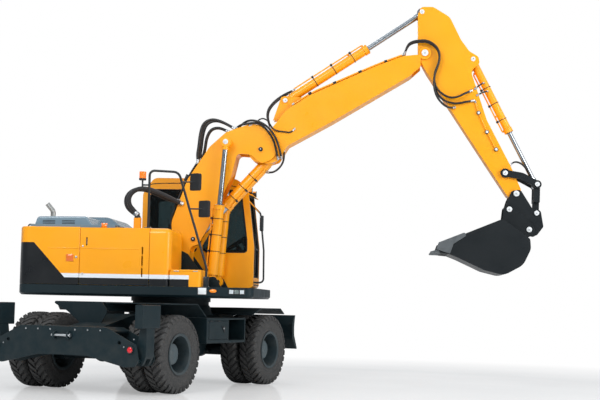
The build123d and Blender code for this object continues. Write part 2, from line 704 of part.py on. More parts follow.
def bodywork():
    """Fixed side walls, bulkhead, tanks and right front tool box body."""
    shell = block(DOOR_FRONT_X + PANEL_GAP, TANK_FRONT_X, -BODY_HALF, TANK_INNER_Y, SKIRT_TOP + SEAT_GAP, HOOD_TOP)
    front = shell.edges().filter_by(Axis.Z).group_by(Axis.X)[-1].sort_by(Axis.Y)[0]
    shell = fillet(front, 90)
    top = shell.edges().filter_by(Axis.Y).group_by(Axis.Z)[-1].sort_by(Axis.X)[-1]
    shell = fillet(top, 80)
    # Bulkhead behind the cab and the boom, from side to side.
    bulkhead_x = CAB_REAR_X - 60
    low = SKIRT_TOP + SEAT_GAP
    shell += block(bulkhead_x, bulkhead_x + 30, TANK_INNER_Y - 30, BODY_HALF, low, HOOD_TOP)
    shell += block(bulkhead_x, DOOR_FRONT_X + PANEL_GAP + 5, TANK_INNER_Y - 30, TANK_INNER_Y, low, HOOD_TOP)
    # Roof over the pumps, with the filler neck of the oil tank.
    roof_edge = -BODY_HALF + WALL + PANEL_GAP
    shell += block(bulkhead_x, DOOR_FRONT_X + PANEL_GAP + 5, roof_edge, TANK_INNER_Y, HOOD_TOP - WALL, HOOD_TOP)
    neck = block(FILLER[0] - 52, FILLER[0] + 52, FILLER[1] - 45, FILLER[1] + 45, HOOD_TOP - 1, FILLER_TOP)
    shell += fillet(neck.edges().filter_by(Axis.Z), 20)
    # Tool box body: an open tray with a lid on top.
    tray = block(TANK_FRONT_X - 5, TOOL_FRONT_X, -BODY_HALF, -560, SKIRT_TOP + SEAT_GAP, TOOL_TOP - 30)
    corner = tray.edges().filter_by(Axis.Z).group_by(Axis.X)[-1].sort_by(Axis.Y)[0]
    tray = fillet(corner, 60)
    tray -= block(TANK_FRONT_X + 25, TOOL_FRONT_X - 30, -BODY_HALF + 30, -590, SKIRT_TOP + 30, TOOL_TOP)
    shell += tray
    return shell


def bonnet():
    """Engine hood with raised louvred housings and the exhaust's tail, hinged along its front edge."""
    low = HOOD_TOP + SEAT_GAP
    rear_x = TAIL_CORNER_X + 70
    front_x = CAB_REAR_X - 66
    side_y = BODY_HALF - 190
    hood = block(rear_x, front_x, -BODY_HALF + 100, BODY_HALF - 100, low, low + 40)
    first = [
        (rear_x + 30, low + 30, 0),
        (rear_x + 70, HOUSING_TOP - 10, 60),
        (front_x - 454, HOUSING_TOP, 60),
        (front_x - 354, low + 30, 0),
    ]
    right = prism_y(first, -side_y, -60)
    right = fillet(right.edges().group_by(Axis.Y)[0].filter_by(Axis.X, reverse=True), 25)
    hood += right
    second = [
        (rear_x + 160, low + 30, 0),
        (rear_x + 220, HOUSING_TOP + 50, 90),
        (front_x - 334, HOUSING_TOP + 50, 180),
        (front_x - 94, low + 30, 0),
    ]
    hood += prism_y(second, -70, side_y)
    # The underside is hollow up to the housings' tops.
    inner_y = side_y - WALL
    middle_x = front_x - 484
    hood -= block(rear_x + 120, middle_x, -inner_y, inner_y, low - 1, HOUSING_TOP - WALL)
    hood -= block(middle_x - 1, front_x - 254, -30, inner_y, low - 1, HOUSING_TOP - WALL)
    # Louvres in the right housing's side: rows are (rear end, length) of the two groups.
    for start, length in ((rear_x + 150, 183), (rear_x + 432, 190)):
        for row in range(LOUVRE_ROWS):
            z = low + 52 + row * LOUVRE_PITCH
            hood -= block(start, start + length, -side_y - 1, -inner_y + 1, z, z + LOUVRE_PITCH / 2)
    # Exhaust tail, bent to the rear and open at its end.
    pipe_y = -430
    path = [
        (rear_x + 125, pipe_y, HOUSING_TOP - WALL + 5),
        (rear_x + 125, pipe_y, HOUSING_TOP + 110),
        (rear_x + 35, pipe_y, HOUSING_TOP + 215),
    ]
    hood += tube(path, EXHAUST_RADIUS, 90)
    end = Plane(origin=path[-1], z_dir=(path[2][0] - path[1][0], 0, path[2][2] - path[1][2]))
    hood -= extrude(end * Circle(EXHAUST_RADIUS - 4), amount=-60)
    return hood


def pump_vents():
    """Upright slots of the right door and its hand hole: rows of (rear x, front x, low z, high z)."""
    x = DOOR_FRONT_X - 108
    slots = [(x, x + 20, low, high) for low, high in ((1567, 1690), (1720, 1865), (1885, 1990))]
    hand_x = COUNTER_FRONT_X + 82
    return slots + [(hand_x, hand_x + 22, 2000, 2115)]


def cooler_vents():
    """Field of louvre slots in the cooler's door: rows of (rear x, front x, low z, high z)."""
    slots = []
    for column in range(3):
        x = COUNTER_FRONT_X + 70 + column * 115
        for row in range(VENT_ROWS):
            z = VENT_LOW + row * VENT_PITCH
            slots.append((x, x + 95, z, z + VENT_PITCH / 2))
    return slots


def side_door(side, front_x, rear_x, slots):
    """Upright side door, as thick as the bodywork's wall, on a pivot at its front edge."""
    span = sorted((side * BODY_HALF, side * (BODY_HALF - WALL)))
    door = block(rear_x, front_x, span[0], span[1], SKIRT_TOP + PANEL_GAP, HOOD_TOP - PANEL_GAP)
    outer = door.edges().filter_by(Axis.Z).group_by(Axis.X)[-1].sort_by(Axis.Y)
    door = fillet(outer[0] if side < 0 else outer[-1], PIVOT_INSET)
    for rear, front, low, high in slots:
        door -= block(rear, front, span[0] - 1, span[1] + 1, low, high)
    pivot = (front_x - PIVOT_INSET, side * (BODY_HALF - PIVOT_INSET))
    door += rod_z(pivot, PIVOT_INSET - 2, SKIRT_TOP + SEAT_GAP, SKIRT_TOP + PANEL_GAP + 1)
    return door


def right_rear_pane(inset):
    """Right rear window's outline, drawn in from its opening."""
    return [
        (CAB_REAR_X + 110 + inset, 2000 + inset, 60),
        (CAB_REAR_X + 110 + inset, 2860, 90),
        (CAB_REAR_X + 200, 2960 - inset, 60),
        (300 - inset, 2960 - inset, 60),
        (300 - inset, 2000 + inset, 60),
    ]


def right_front_pane(inset):
    """Right front window's outline, drawn in from its opening."""
    return [
        (400 + inset, 2000 + inset, 60),
        (400 + inset, 2960 - inset, 60),
        (880, 2960 - inset, 80),
        (990 - inset, 2860, 60),
        (1080 - inset, 2200, 60),
        (1085 - inset, 2000 + inset, 60),
    ]


def quarter_pane(inset):
    """Left rear window's outline, drawn in from its opening."""
    return [
        (CAB_REAR_X + 90 + inset, 2000 + inset, 50),
        (CAB_REAR_X + 90 + inset, 2850 - inset, 60),
        (50 - inset, 2850 - inset, 60),
        (50 - inset, 2000 + inset, 50),
    ]


def cab_shell():
    """Cab with its floor, roof, pillars and window openings; the door side stays open."""
    # Rows are (x, z, corner radius) of the cab seen from its right side.
    side = [
        (CAB_REAR_X, 1460, 30),
        (CAB_REAR_X, 2900, 160),
        (CAB_REAR_X + 170, CAB_TOP, 120),
        (900, CAB_TOP, 160),
        (1080, 2980, 120),
        (CAB_FRONT_X, 2100, 200),
        (CAB_FRONT_X, 1460, 60),
    ]
    outer = prism_y(side, CAB_RIGHT_Y, CAB_LEFT_Y)
    inner = [
        (CAB_REAR_X + CAB_WALL, 1510, 20),
        (CAB_REAR_X + CAB_WALL, 2880, 130),
        (CAB_REAR_X + 190, CAB_TOP - 60, 80),
        (880, CAB_TOP - 60, 120),
        (1030, 2950, 100),
        (CAB_FRONT_X - CAB_WALL, 2100, 180),
        (CAB_FRONT_X - CAB_WALL, 1510, 30),
    ]
    shell = outer - prism_y(inner, CAB_RIGHT_Y + CAB_WALL, CAB_LEFT_Y - CAB_WALL)
    # Rubber mounts between the floor and the deck.
    for x in (CAB_REAR_X + 120, CAB_FRONT_X - 120):
        for y in (CAB_RIGHT_Y + 100, CAB_LEFT_Y - 100):
            shell += rod_z((x, y), 60, SKIRT_TOP + SEAT_GAP, 1465)
    # Right windows: rear and front panes, cut through the wall.
    for pane in (right_rear_pane(0), right_front_pane(0)):
        shell -= prism_y(pane, CAB_RIGHT_Y - 10, CAB_RIGHT_Y + CAB_WALL + 10)
    # Windscreen and lower front glass.
    shell -= block(1000, CAB_FRONT_X + 60, CAB_RIGHT_Y + 70, CAB_LEFT_Y - 70, 1620, 2900)
    # Rear window.
    shell -= block(CAB_REAR_X - 20, CAB_REAR_X + 90, CAB_RIGHT_Y + 110, CAB_LEFT_Y - 110, 2200, 2850)
    # Door opening in the left wall.
    shell -= prism_y(door_outline(0), CAB_LEFT_Y - CAB_WALL - 10, CAB_LEFT_Y + 10)
    # Left rear quarter window.
    shell -= prism_y(quarter_pane(0), CAB_LEFT_Y - CAB_WALL - 10, CAB_LEFT_Y + 10)
    # Two work lamps, the visor, and the grab rail with its mirror at the right front corner.
    for y in (CAB_RIGHT_Y + 130, CAB_LEFT_Y - 130):
        shell += rod_x((y, 2965), 46, 1045, 1130)
    visor = [
        (1050, 2945, 0),
        (1160, 2890, 0),
        (1156, 2878, 0),
        (1060, 2915, 0),
    ]
    shell += prism_y(visor, CAB_RIGHT_Y + 60, CAB_LEFT_Y - 60)
    rail_y = CAB_RIGHT_Y + 35
    front = CAB_FRONT_X
    grab = [
        (front - 100, rail_y, 2800),
        (front + 88, rail_y, 2610),
        (front + 150, rail_y, 2040),
        (front + 156, rail_y, 1545),
        (front - 20, rail_y, 1545),
    ]
    shell += tube(grab, 14, [60, 100, 60])
    mirror_glass = fillet(Box(46, 130, 236).edges().filter_by(Axis.X), 20)
    shell += Pos(front + 106, rail_y + 35, 2460) * mirror_glass
    return shell + cab_hinges(-1, -HINGE_HEIGHT, -HINGE_GAP)


def door_outline(inset):
    """Cab door's outline, drawn in from its opening."""
    return [
        (DOOR_REAR_X + inset, 1520 + inset, 40),
        (DOOR_REAR_X + inset, 2960 - inset, 80),
        (900 - inset, 2960 - inset, 80),
        (1020 - inset, 2800 - inset, 80),
        (1120 - inset, 2100, 150),
        (1120 - inset, 1520 + inset, 60),
    ]


def door_panes(inset):
    """Outlines of the cab door's upper and lower windows, drawn in from their openings."""
    upper = [
        (240 + inset, 2060 + inset, 50),
        (240 + inset, 2890 - inset, 60),
        (860, 2890 - inset, 60),
        (960 - inset, 2770, 60),
        (1050 - inset, 2060 + inset, 50),
    ]
    lower = [
        (700 + inset, 1600 + inset, 40),
        (700 + inset, 1980 - inset, 40),
        (1045 - inset, 1980 - inset, 40),
        (1045 - inset, 1600 + inset, 40),
    ]
    return upper, lower


def cab_hinges(direction, low_offset, high_offset):
    """One half of both outer door hinges: knuckles with straps to the rear (-1) or front (+1)."""
    halves = []
    for z in CAB_HINGE_Z:
        knuckle_half = rod_z((CAB_HINGE_X, CAB_LEFT_Y + HINGE_RADIUS), HINGE_RADIUS, z + low_offset, z + high_offset)
        edge = sorted((CAB_HINGE_X, CAB_HINGE_X + direction * HINGE_STRAP))
        strap = block(edge[0], edge[1], CAB_LEFT_Y, CAB_LEFT_Y + 8, z + low_offset, z + high_offset)
        halves.append(knuckle_half + strap)
    return joined(halves)


def cab_door():
    """Cab door with its window opening, as thick as the wall."""
    door = prism_y(door_outline(PANEL_GAP), CAB_LEFT_Y - CAB_WALL, CAB_LEFT_Y)
    door += cab_hinges(1, HINGE_GAP, HINGE_HEIGHT)
    for pane in door_panes(0):
        door -= prism_y(pane, CAB_LEFT_Y - CAB_WALL - 5, CAB_LEFT_Y + 5)
    return door


def seat():
    """Driver's seat cushion and back."""
    middle = (CAB_RIGHT_Y + CAB_LEFT_Y) / 2
    cushion = fillet(block(-60, 440, middle - 250, middle + 250, 1950, 2080).edges(), 40)
    back = fillet(block(-190, -60 - SEAT_GAP, middle - 240, middle + 240, 1980, 2620).edges(), 40)
    return [cushion, back]


def controls():
    """Seat pedestal, consoles, steering column and wheel."""
    middle = (CAB_RIGHT_Y + CAB_LEFT_Y) / 2
    base = block(-40, 400, middle - 200, middle + 200, 1510 + SEAT_GAP, 1950 - SEAT_GAP)
    for sign in (-1, 1):
        side = sorted((sign * 262, sign * 352))
        base += block(0, 520, middle + side[0], middle + side[1], 1900, 2090)
        bracket = sorted((sign * 190, sign * 262))
        base += block(60, 300, middle + bracket[0], middle + bracket[1], 1900, 1940)
        base += rod_z((470, middle + sign * 310), 18, 2085, 2240)
    column = rod_z((900, middle), 60, 1510 + SEAT_GAP, 2060)
    wheel = Pos(860, middle, 2150) * Rot(0, -35, 0) * (Torus(180, 16) + Cylinder(40, 30) + Box(340, 30, 14))
    column += Pos(880, middle, 2100) * Rot(0, -35, 0) * Cylinder(30, 110)
    return [base, column + wheel]


def rails():
    """Bent tube handrail at the right front with its two mirrors and the beacon."""
    y = -BODY_HALF + 90
    top = (270, 3070)
    foot = (700, 1720)
    rail = tube(
        [
            (-150, y, HOOD_TOP + SEAT_GAP),
            (-150, y, 3090),
            (top[0], y, top[1]),
            (foot[0], y, foot[1]),
            (foot[0], y, SKIRT_TOP + SEAT_GAP),
        ],
        17,
        [70, 110, 200],
    )
    # Rows are (middle x, middle z, half height) of the mirrors beside the sloping tube.
    for x, z, half in ((515, 2930, 122), (650, 2548, 118)):
        glass = fillet((Box(52, 170, 2 * half)).edges().filter_by(Axis.X), 22)
        rail += Pos(x, y, z) * Rot(0, 0, 58) * glass
        slope = (foot[0] - top[0]) / (top[1] - foot[1])
        rail += rod_x((y, z), 11, top[0] + (top[1] - z) * slope, x)
    rail += rod_z((BEACON_X, y), 12, 2860, 2960)
    rail += rod_z((BEACON_X, y), 48, 2955, 3070)
    rail += rod_x((y, 2880), 12, BEACON_X, -150)
    return rail


def boom_outline():
    """Lower boom's side view as rows of (x, z, corner radius)."""
    return [
        (40, 1900, 90),
        (10, 2420, 300),
        (236, 3062, 300),
        (560, 3560, 220),
        (800, 3780, 220),
        (1200, 3925, 330),
        (1560, 3800, 330),
        (1560, 3400, 170),
        (1340, 3310, 90),
        (1180, 3445, 120),
        (975, 3460, 70),
        (900, 3130, 300),
        (560, 2330, 120),
        (420, 2080, 90),
        (300, 2060, 90),
        (290, 1800, 90),
        (100, 1760, 110),
    ]


def lower_boom():
    """Lower boom: a box with fork cheeks at the top and at the adjusting ram's pin."""
    boom = prism_y(boom_outline(), -LOWER_HALF, LOWER_HALF)
    inside = LOWER_HALF - SIDE_PLATE
    # Fork for the second boom's tongue.
    boom -= rod_y(BOOM_JOINT, 330, -inside, inside)
    boom -= prism_y(
        [(1331, 3860, 0), (1900, 4300, 0), (2000, 3000, 0), (1200, 3000, 0), (1040, 3300, 60), (1000, 3460, 60)],
        -inside,
        inside,
    )
    # Channel for the adjusting ram along the front.
    boom -= prism_y(
        [(250, 1990, 60), (180, 2220, 60), (560, 2600, 0), (1080, 3480, 0), (1500, 3350, 0), (560, 1800, 0), (400, 1950, 60)],
        -inside,
        inside,
    )
    # Foot bosses.
    boom += rod_y(BOOM_FOOT, 115, -FOOT_HALF, FOOT_HALF)
    boom -= rod_y(BOOM_FOOT, 50 + RUN_GAP, -FOOT_HALF - 1, FOOT_HALF + 1)
    for sign in (-1, 1):
        boss = sorted((sign * (LOWER_HALF - 5), sign * (LIFT_Y - 52 - SIDE_GAP)))
        boom += rod_y(LIFT_EYE, 70, boss[0], boss[1])
        span = sorted((sign * (LOWER_HALF - 5), sign * (LOWER_HALF + 10)))
        boom += rod_y(BOOM_JOINT, 48, span[0], span[1])
        boom += rod_y(ADJUST_EYE, 45, span[0], span[1])
        pin = sorted((sign * (TONGUE_HALF - 60), sign * LOWER_HALF))
        boom += rod_y(BOOM_JOINT, 45, pin[0], pin[1])
    return boom


def upper_boom():
    """Second boom: a tapering box with a tongue, a tip fork and ram brackets."""
    side = [
        (1370, 3700, 0),
        (1700, 4130, 60),
        (2050, 4360, 400),
        (3025, 4800, 300),
        (3440, 4960, 200),
        (3700, 4985, 0),
        (3700, 4800, 0),
        (3540, 4655, 200),
        (2382, 3955, 300),
        (1687, 3566, 200),
        (1500, 3470, 60),
    ]
    box = prism_y(side, -UPPER_HALF, UPPER_HALF)
    # The tongue turns between the lower boom's cheeks.
    box += rod_y(BOOM_JOINT, 200, -TONGUE_HALF, TONGUE_HALF)
    ear = [
        (BOOM_JOINT[0] - 60, BOOM_JOINT[1] - 150, 60),
        (ADJUST_BASE[0] - 40, ADJUST_BASE[1] - 110, 60),
        (ADJUST_BASE[0] + 110, ADJUST_BASE[1] - 60, 60),
        (1760, 3640, 0),
        (1500, 3800, 0),
    ]
    box += prism_y(ear, -TONGUE_HALF, TONGUE_HALF)
    box -= rod_y(BOOM_JOINT, 45 + RUN_GAP, -TONGUE_HALF - 1, TONGUE_HALF + 1)
    slot_half = 108
    box -= rod_y(ADJUST_BASE, ADJUST_RAM[3] + 30, -slot_half, slot_half)
    box -= prism_y(
        [
            (ADJUST_BASE[0] - 290, ADJUST_BASE[1] + 50, 60),
            (ADJUST_BASE[0] + 140, ADJUST_BASE[1] + 50, 0),
            (ADJUST_BASE[0] + 160, ADJUST_BASE[1] - 400, 0),
            (ADJUST_BASE[0] - 430, ADJUST_BASE[1] - 400, 0),
        ],
        -slot_half,
        slot_half,
    )
    # Tip fork for the arm.
    box += rod_y(BOOM_TIP, 95, -UPPER_HALF, UPPER_HALF)
    box -= block(BOOM_TIP[0] - 185, BOOM_TIP[0] + 300, -ARM_HALF - SIDE_GAP, ARM_HALF + SIDE_GAP, 4600, 5200)
    for sign in (-1, 1):
        pin = sorted((sign * (ARM_HALF - 60), sign * (UPPER_HALF + 14)))
        box += rod_y(BOOM_TIP, BOOM_TIP_RADIUS, pin[0], pin[1])
        # Brackets of the arm ram.
        base = [
            (ARM_RAM_BASE[0] - 180, 3980, 0),
            (ARM_RAM_BASE[0] - 60, ARM_RAM_BASE[1] + 60, 50),
            (ARM_RAM_BASE[0] + 80, ARM_RAM_BASE[1] + 60, 50),
            (ARM_RAM_BASE[0] + 330, 4330, 0),
            (ARM_RAM_BASE[0] + 100, 4050, 0),
        ]
        span = sorted((sign * 70, sign * 96))
        box += prism_y(base, span[0], span[1])
    box += rod_y(ARM_RAM_BASE, RAM_PIN_RADIUS, -110, 110)
    box += rod_y(ADJUST_BASE, ADJUST_PIN_RADIUS, -slot_half - 5, slot_half + 5)
    return box


def arm():
    """Arm with its ram ear, bucket ram bracket and slim tip."""
    side = [
        (3652, 5600, 40),
        (3700, 5715, 60),
        (3880, 5715, 120),
        (4130, 5560, 200),
        (4300, 5212, 200),
        (4424, 5043, 60),
        (4560, 4960, 60),
        (4580, 4850, 60),
        (4441, 4765, 120),
        (4690, 4006, 300),
        (5048, 3314, 0),
        (5205, 2960, 70),
        (5110, 2830, 70),
        (5000, 2870, 60),
        (4650, 3400, 300),
        (4129, 4196, 300),
        (3790, 4720, 120),
        (3660, 4960, 80),
    ]
    stick = prism_y(side, -ARM_HALF, ARM_HALF)
    stick += rod_y(ROCKER_PIN, 60, -ROCKER_Y + RUN_GAP, ROCKER_Y - RUN_GAP)
    pin_end = ROCKER_Y + ROCKER_PLATE + 16
    stick += rod_y(ROCKER_PIN, ROCKER_PIN_RADIUS, -pin_end, pin_end)
    stick += rod_y(ARM_TIP, 84, -COUPLER_Y + RUN_GAP, COUPLER_Y - RUN_GAP)
    for pin in (BOOM_TIP, ARM_TIP):
        stick -= rod_y(pin, BOOM_TIP_RADIUS + RUN_GAP, -COUPLER_Y - 1, COUPLER_Y + 1)
    # Slots in the two ears for the ram eyes.
    slot = 72
    stick -= rod_y(ARM_RAM_EYE, ARM_RAM[3] + ARM_EYE_PLAY, -slot, slot)
    stick -= prism_y([(3400, 5560, 0), (3400, 5900, 0), (3760, 5900, 0), (3800, 5560, 0)], -slot, slot)
    stick -= rod_y(BUCKET_RAM_BASE, BUCKET_RAM[3] + 22, -slot, slot)
    ram_way = [(4395, 4850, 0), (4460, 5060, 0), (4760, 5060, 0), (4760, 4560, 0), (4560, 4580, 0)]
    stick -= prism_y(ram_way, -slot, slot)
    stick += rod_y(BUCKET_RAM_BASE, RAM_PIN_RADIUS, -ARM_HALF, ARM_HALF)
    return stick


def rocker():
    """Two rocker plates beside the arm, with the stub pins of the ram and link."""
    plates = []
    length = hypot(ROCKER_TIP[0] - ROCKER_PIN[0], ROCKER_TIP[1] - ROCKER_PIN[1])
    turn = degrees(atan2(ROCKER_TIP[1] - ROCKER_PIN[1], ROCKER_TIP[0] - ROCKER_PIN[0]))
    for sign in (-1, 1):
        low = min(sign * ROCKER_Y, sign * (ROCKER_Y + ROCKER_PLATE))
        high = low + ROCKER_PLATE
        plate = rod_y(ROCKER_PIN, 68, low, high) + rod_y(ROCKER_TIP, 62, low, high)
        bow = [
            (0, -50, 0),
            (length / 2, -10, 180),
            (length, -50, 0),
            (length, 50, 0),
            (length / 2, 92, 220),
            (0, 50, 0),
        ]
        plate += Pos(ROCKER_PIN[0], 0, ROCKER_PIN[1]) * Rot(0, -turn, 0) * prism_y(bow, low, high)
        stub = sorted((sign * 82, sign * (ROCKER_Y + 5)))
        plate += rod_y(ROCKER_TIP, 34, stub[0], stub[1])
        outer = sorted((sign * (ROCKER_Y + ROCKER_PLATE - 1), sign * (ROCKER_Y + ROCKER_PLATE + 14)))
        plate += rod_y(ROCKER_TIP, 36, outer[0], outer[1])
        plate -= rod_y(ROCKER_PIN, ROCKER_PIN_RADIUS + RUN_GAP, low - 1, high + 1)
        plates.append(plate)
    return plates


def link():
    """Link between the rocker's tip and the coupler, forked at the top."""
    shapes = []
    for sign in (-1, 1):
        low, high = sorted((sign * 84, sign * 152))
        eye = rod_y(ROCKER_TIP, 60, low, high) - rod_y(ROCKER_TIP, 34 + RUN_GAP, low - 1, high + 1)
        shapes.append(eye)
    body = rod_y(LINK_PIN, 58, -88, 88)
    length = hypot(LINK_PIN[0] - ROCKER_TIP[0], LINK_PIN[1] - ROCKER_TIP[1])
    turn = degrees(atan2(LINK_PIN[1] - ROCKER_TIP[1], LINK_PIN[0] - ROCKER_TIP[0]))
    place = Pos(ROCKER_TIP[0], 0, ROCKER_TIP[1]) * Rot(0, -turn, 0)
    for sign in (-1, 1):
        low, high = sorted((sign * 84, sign * 152))
        body += place * block(52, length * 0.62, low, high, -45, 45)
    body += place * block(length * 0.5, length * 0.62, -152, 152, -45, 45)
    body += place * block(length * 0.5, length - 20, -88, 88, -42, 42)
    return joined(shapes + [body])


def coupler():
    """Quick coupler: two cheeks between the arm tip, the link pin and the bucket pins."""
    cheek = [
        (ARM_TIP[0] - 70, ARM_TIP[1] + 40, 60),
        (ARM_TIP[0] + 60, ARM_TIP[1] + 60, 60),
        (LINK_PIN[0] - 60, LINK_PIN[1] + 62, 50),
        (LINK_PIN[0] + 60, LINK_PIN[1] + 40, 50),
        (LINK_PIN[0] + 100, LINK_PIN[1] - 200, 40),
        (BUCKET_PIN[0] + 110, BUCKET_PIN[1] - 90, 50),
        (BUCKET_PIN[0] - 60, BUCKET_PIN[1] - 60, 40),
        (ARM_TIP[0] - 170, ARM_TIP[1] - 230, 60),
        (ARM_TIP[0] - 130, ARM_TIP[1] - 100, 60),
    ]
    plates = []
    for sign in (-1, 1):
        low, high = sorted((sign * COUPLER_Y, sign * (COUPLER_Y + COUPLER_PLATE)))
        plates.append(prism_y(cheek, low, high))
    body = joined(plates)
    for pin in (HOOK_PIN, BUCKET_PIN):
        body += rod_y(pin, BUCKET_PIN_RADIUS, -216, 216)
    for sign in (-1, 1):
        low, high = sorted((sign * (COUPLER_Y + COUPLER_PLATE - 1), sign * (COUPLER_Y + COUPLER_PLATE + 15)))
        body += rod_y(LINK_PIN, 38, low, high)
    pin_end = COUPLER_Y + COUPLER_PLATE + 15
    body += rod_y(ARM_TIP, BOOM_TIP_RADIUS, -pin_end, pin_end)
    return body


def bucket():
    """Digging bucket: curved shell, side plates, lip with side cutters and five teeth."""
    # Rows are (x, z, corner radius) of the side view; the mouth faces the machine.
    side = [
        (4900, 2515, 40),
        (4020, 2150, 0),
        (3960, 2060, 0),
        (4260, 1945, 60),
        (4640, 1770, 160),
        (4930, 1700, 200),
        (5200, 1850, 220),
        (5310, 2080, 160),
        (5300, 2230, 50),
        (5140, 2345, 60),
    ]
    shell = prism_y(side, -BUCKET_HALF, BUCKET_HALF)
    hollow = [
        (4870, 2590, 0),
        (3900, 2190, 0),
        (3890, 2105, 0),
        (4270, 1980, 60),
        (4650, 1806, 150),
        (4920, 1738, 180),
        (5165, 1872, 190),
        (5272, 2090, 130),
        (5262, 2205, 30),
        (5120, 2305, 60),
        (4880, 2475, 0),
    ]
    shell -= prism_y(hollow, -BUCKET_HALF + 28, BUCKET_HALF - 28)
    for index in range(5):
        y = -BUCKET_HALF + 50 + index * (2 * BUCKET_HALF - 100) / 4
        adapter = [(4160, 2118, 0), (4190, 1990, 0), (4010, 2004, 0), (3985, 2078, 30)]
        shell += prism_y(adapter, y - 44, y + 44)
        tooth = [(4020, 2072, 0), (4030, 2006, 0), (3872, 2010, 0), (3868, 2028, 0)]
        shell += prism_y(tooth, y - 32, y + 32)
    # Side cutters along the mouth's edges.
    cutter = [
        (3950, 2062, 0),
        (3985, 2160, 20),
        (4360, 2312, 20),
        (4380, 2262, 20),
        (4200, 2140, 60),
        (4150, 2000, 0),
    ]
    for sign in (-1, 1):
        low, high = sorted((sign * (BUCKET_HALF - 4), sign * (BUCKET_HALF + 16)))
        shell += prism_y(cutter, low, high)
    # Hanger plates up to the coupler's pins.
    for sign in (-1, 1):
        low, high = sorted((sign * 182, sign * 210))
        hanger = [
            (4925, 2500, 0),
            (ARM_TIP[0] - 175, ARM_TIP[1] - 180, 50),
            (ARM_TIP[0] - 60, ARM_TIP[1] - 180, 50),
            (BUCKET_PIN[0] + 60, BUCKET_PIN[1] + 75, 60),
            (BUCKET_PIN[0] + 100, BUCKET_PIN[1] - 60, 60),
            (5250, 2250, 0),
            (5130, 2330, 0),
        ]
        shell += prism_y(hanger, low, high)
        for pin in (HOOK_PIN, BUCKET_PIN):
            shell -= rod_y(pin, BUCKET_PIN_RADIUS + SEAT_GAP, low - 1, high + 1)
    return shell


def engine():
    """The engine as one plain block on its four mounts."""
    body = block(-1650, -750, -450, 450, SKIRT_TOP + 120, SKIRT_TOP + 720)
    for x in (-1560, -840):
        for y in (-380, 380):
            body += rod_z((x, y), 50, SKIRT_TOP + SEAT_GAP, SKIRT_TOP + 125)
    return body


def side_boxes():
    """Tool box between the right wheels, with an open step well beside its door."""
    low_x = REAR_AXLE_X + 749
    high_x = FRONT_AXLE_X - 730
    split_x = BOX_DOOR_FRONT_X + 31
    face_y = -BOX_DOOR_Y + 4
    box = block(low_x, high_x, face_y, -FRAME_HALF, 655, 1010)
    box -= block(split_x + 25, high_x - 25, face_y - 1, -620, 690, 985)
    box -= block(low_x + 25, split_x, face_y + 40, -620, 690, 985)
    box -= block(low_x + 70, BOX_DOOR_FRONT_X - 4, face_y - 1, face_y + 50, 715, 960)
    box -= block(low_x + 60, BOX_DOOR_FRONT_X + 6, face_y - 1, face_y + 10, 705, 970)
    # Left steps under the deck.
    for z in (520, 800):
        box += block(REAR_AXLE_X + 815, FRONT_AXLE_X - 1085, 950, 1180, z, z + 30)
    for x in (REAR_AXLE_X + 805, FRONT_AXLE_X - 1100):
        box += block(x, x + 25, 700, 1180, 520, 1080)
    return box


def side_box_door():
    """Door of the right tool box."""
    return block(BOX_DOOR_REAR_X, BOX_DOOR_FRONT_X, -BOX_DOOR_Y, -BOX_DOOR_Y + 14 - SEAT_GAP, 711, 964)


def glass_panes():
    """Right panes, windscreen and rear pane, set in the cab's walls."""
    mid = CAB_RIGHT_Y + 20
    outlines = (right_rear_pane(SEAT_GAP), right_front_pane(SEAT_GAP))
    panes = [prism_y(pane, mid, mid + GLASS) for pane in outlines]
    side_inset = CAB_WALL + 60 + SEAT_GAP
    panes.append(
        block(
            CAB_REAR_X + 20,
            CAB_REAR_X + 20 + GLASS,
            CAB_RIGHT_Y + side_inset,
            CAB_LEFT_Y - side_inset,
            2200 + SEAT_GAP,
            2850 - SEAT_GAP,
        )
    )
    screen = [
        (1050, 2900 - SEAT_GAP, 0),
        (1056, 2900 - SEAT_GAP, 0),
        (1163, 2100, 160),
        (1163, 1620 + SEAT_GAP, 0),
        (1157, 1620 + SEAT_GAP, 0),
        (1157, 2100, 160),
    ]
    panes.append(prism_y(screen, CAB_RIGHT_Y + 70 + SEAT_GAP, CAB_LEFT_Y - 70 - SEAT_GAP))
    left = CAB_LEFT_Y - 26
    panes.append(prism_y(quarter_pane(SEAT_GAP), left, left + GLASS))
    return panes


def door_glass():
    """Two panes of the cab door."""
    left = CAB_LEFT_Y - 26
    return [prism_y(pane, left, left + GLASS) for pane in door_panes(SEAT_GAP)]


def tool_box_lid():
    """Lid of the front tool box, hinged on its inner side."""
    lid = block(TANK_FRONT_X + 6, TOOL_FRONT_X, -BODY_HALF, -560, TOOL_TOP - 30 + SEAT_GAP, TOOL_TOP)
    corner = lid.edges().filter_by(Axis.Z).group_by(Axis.X)[-1].sort_by(Axis.Y)[0]
    return fillet(corner, 60)


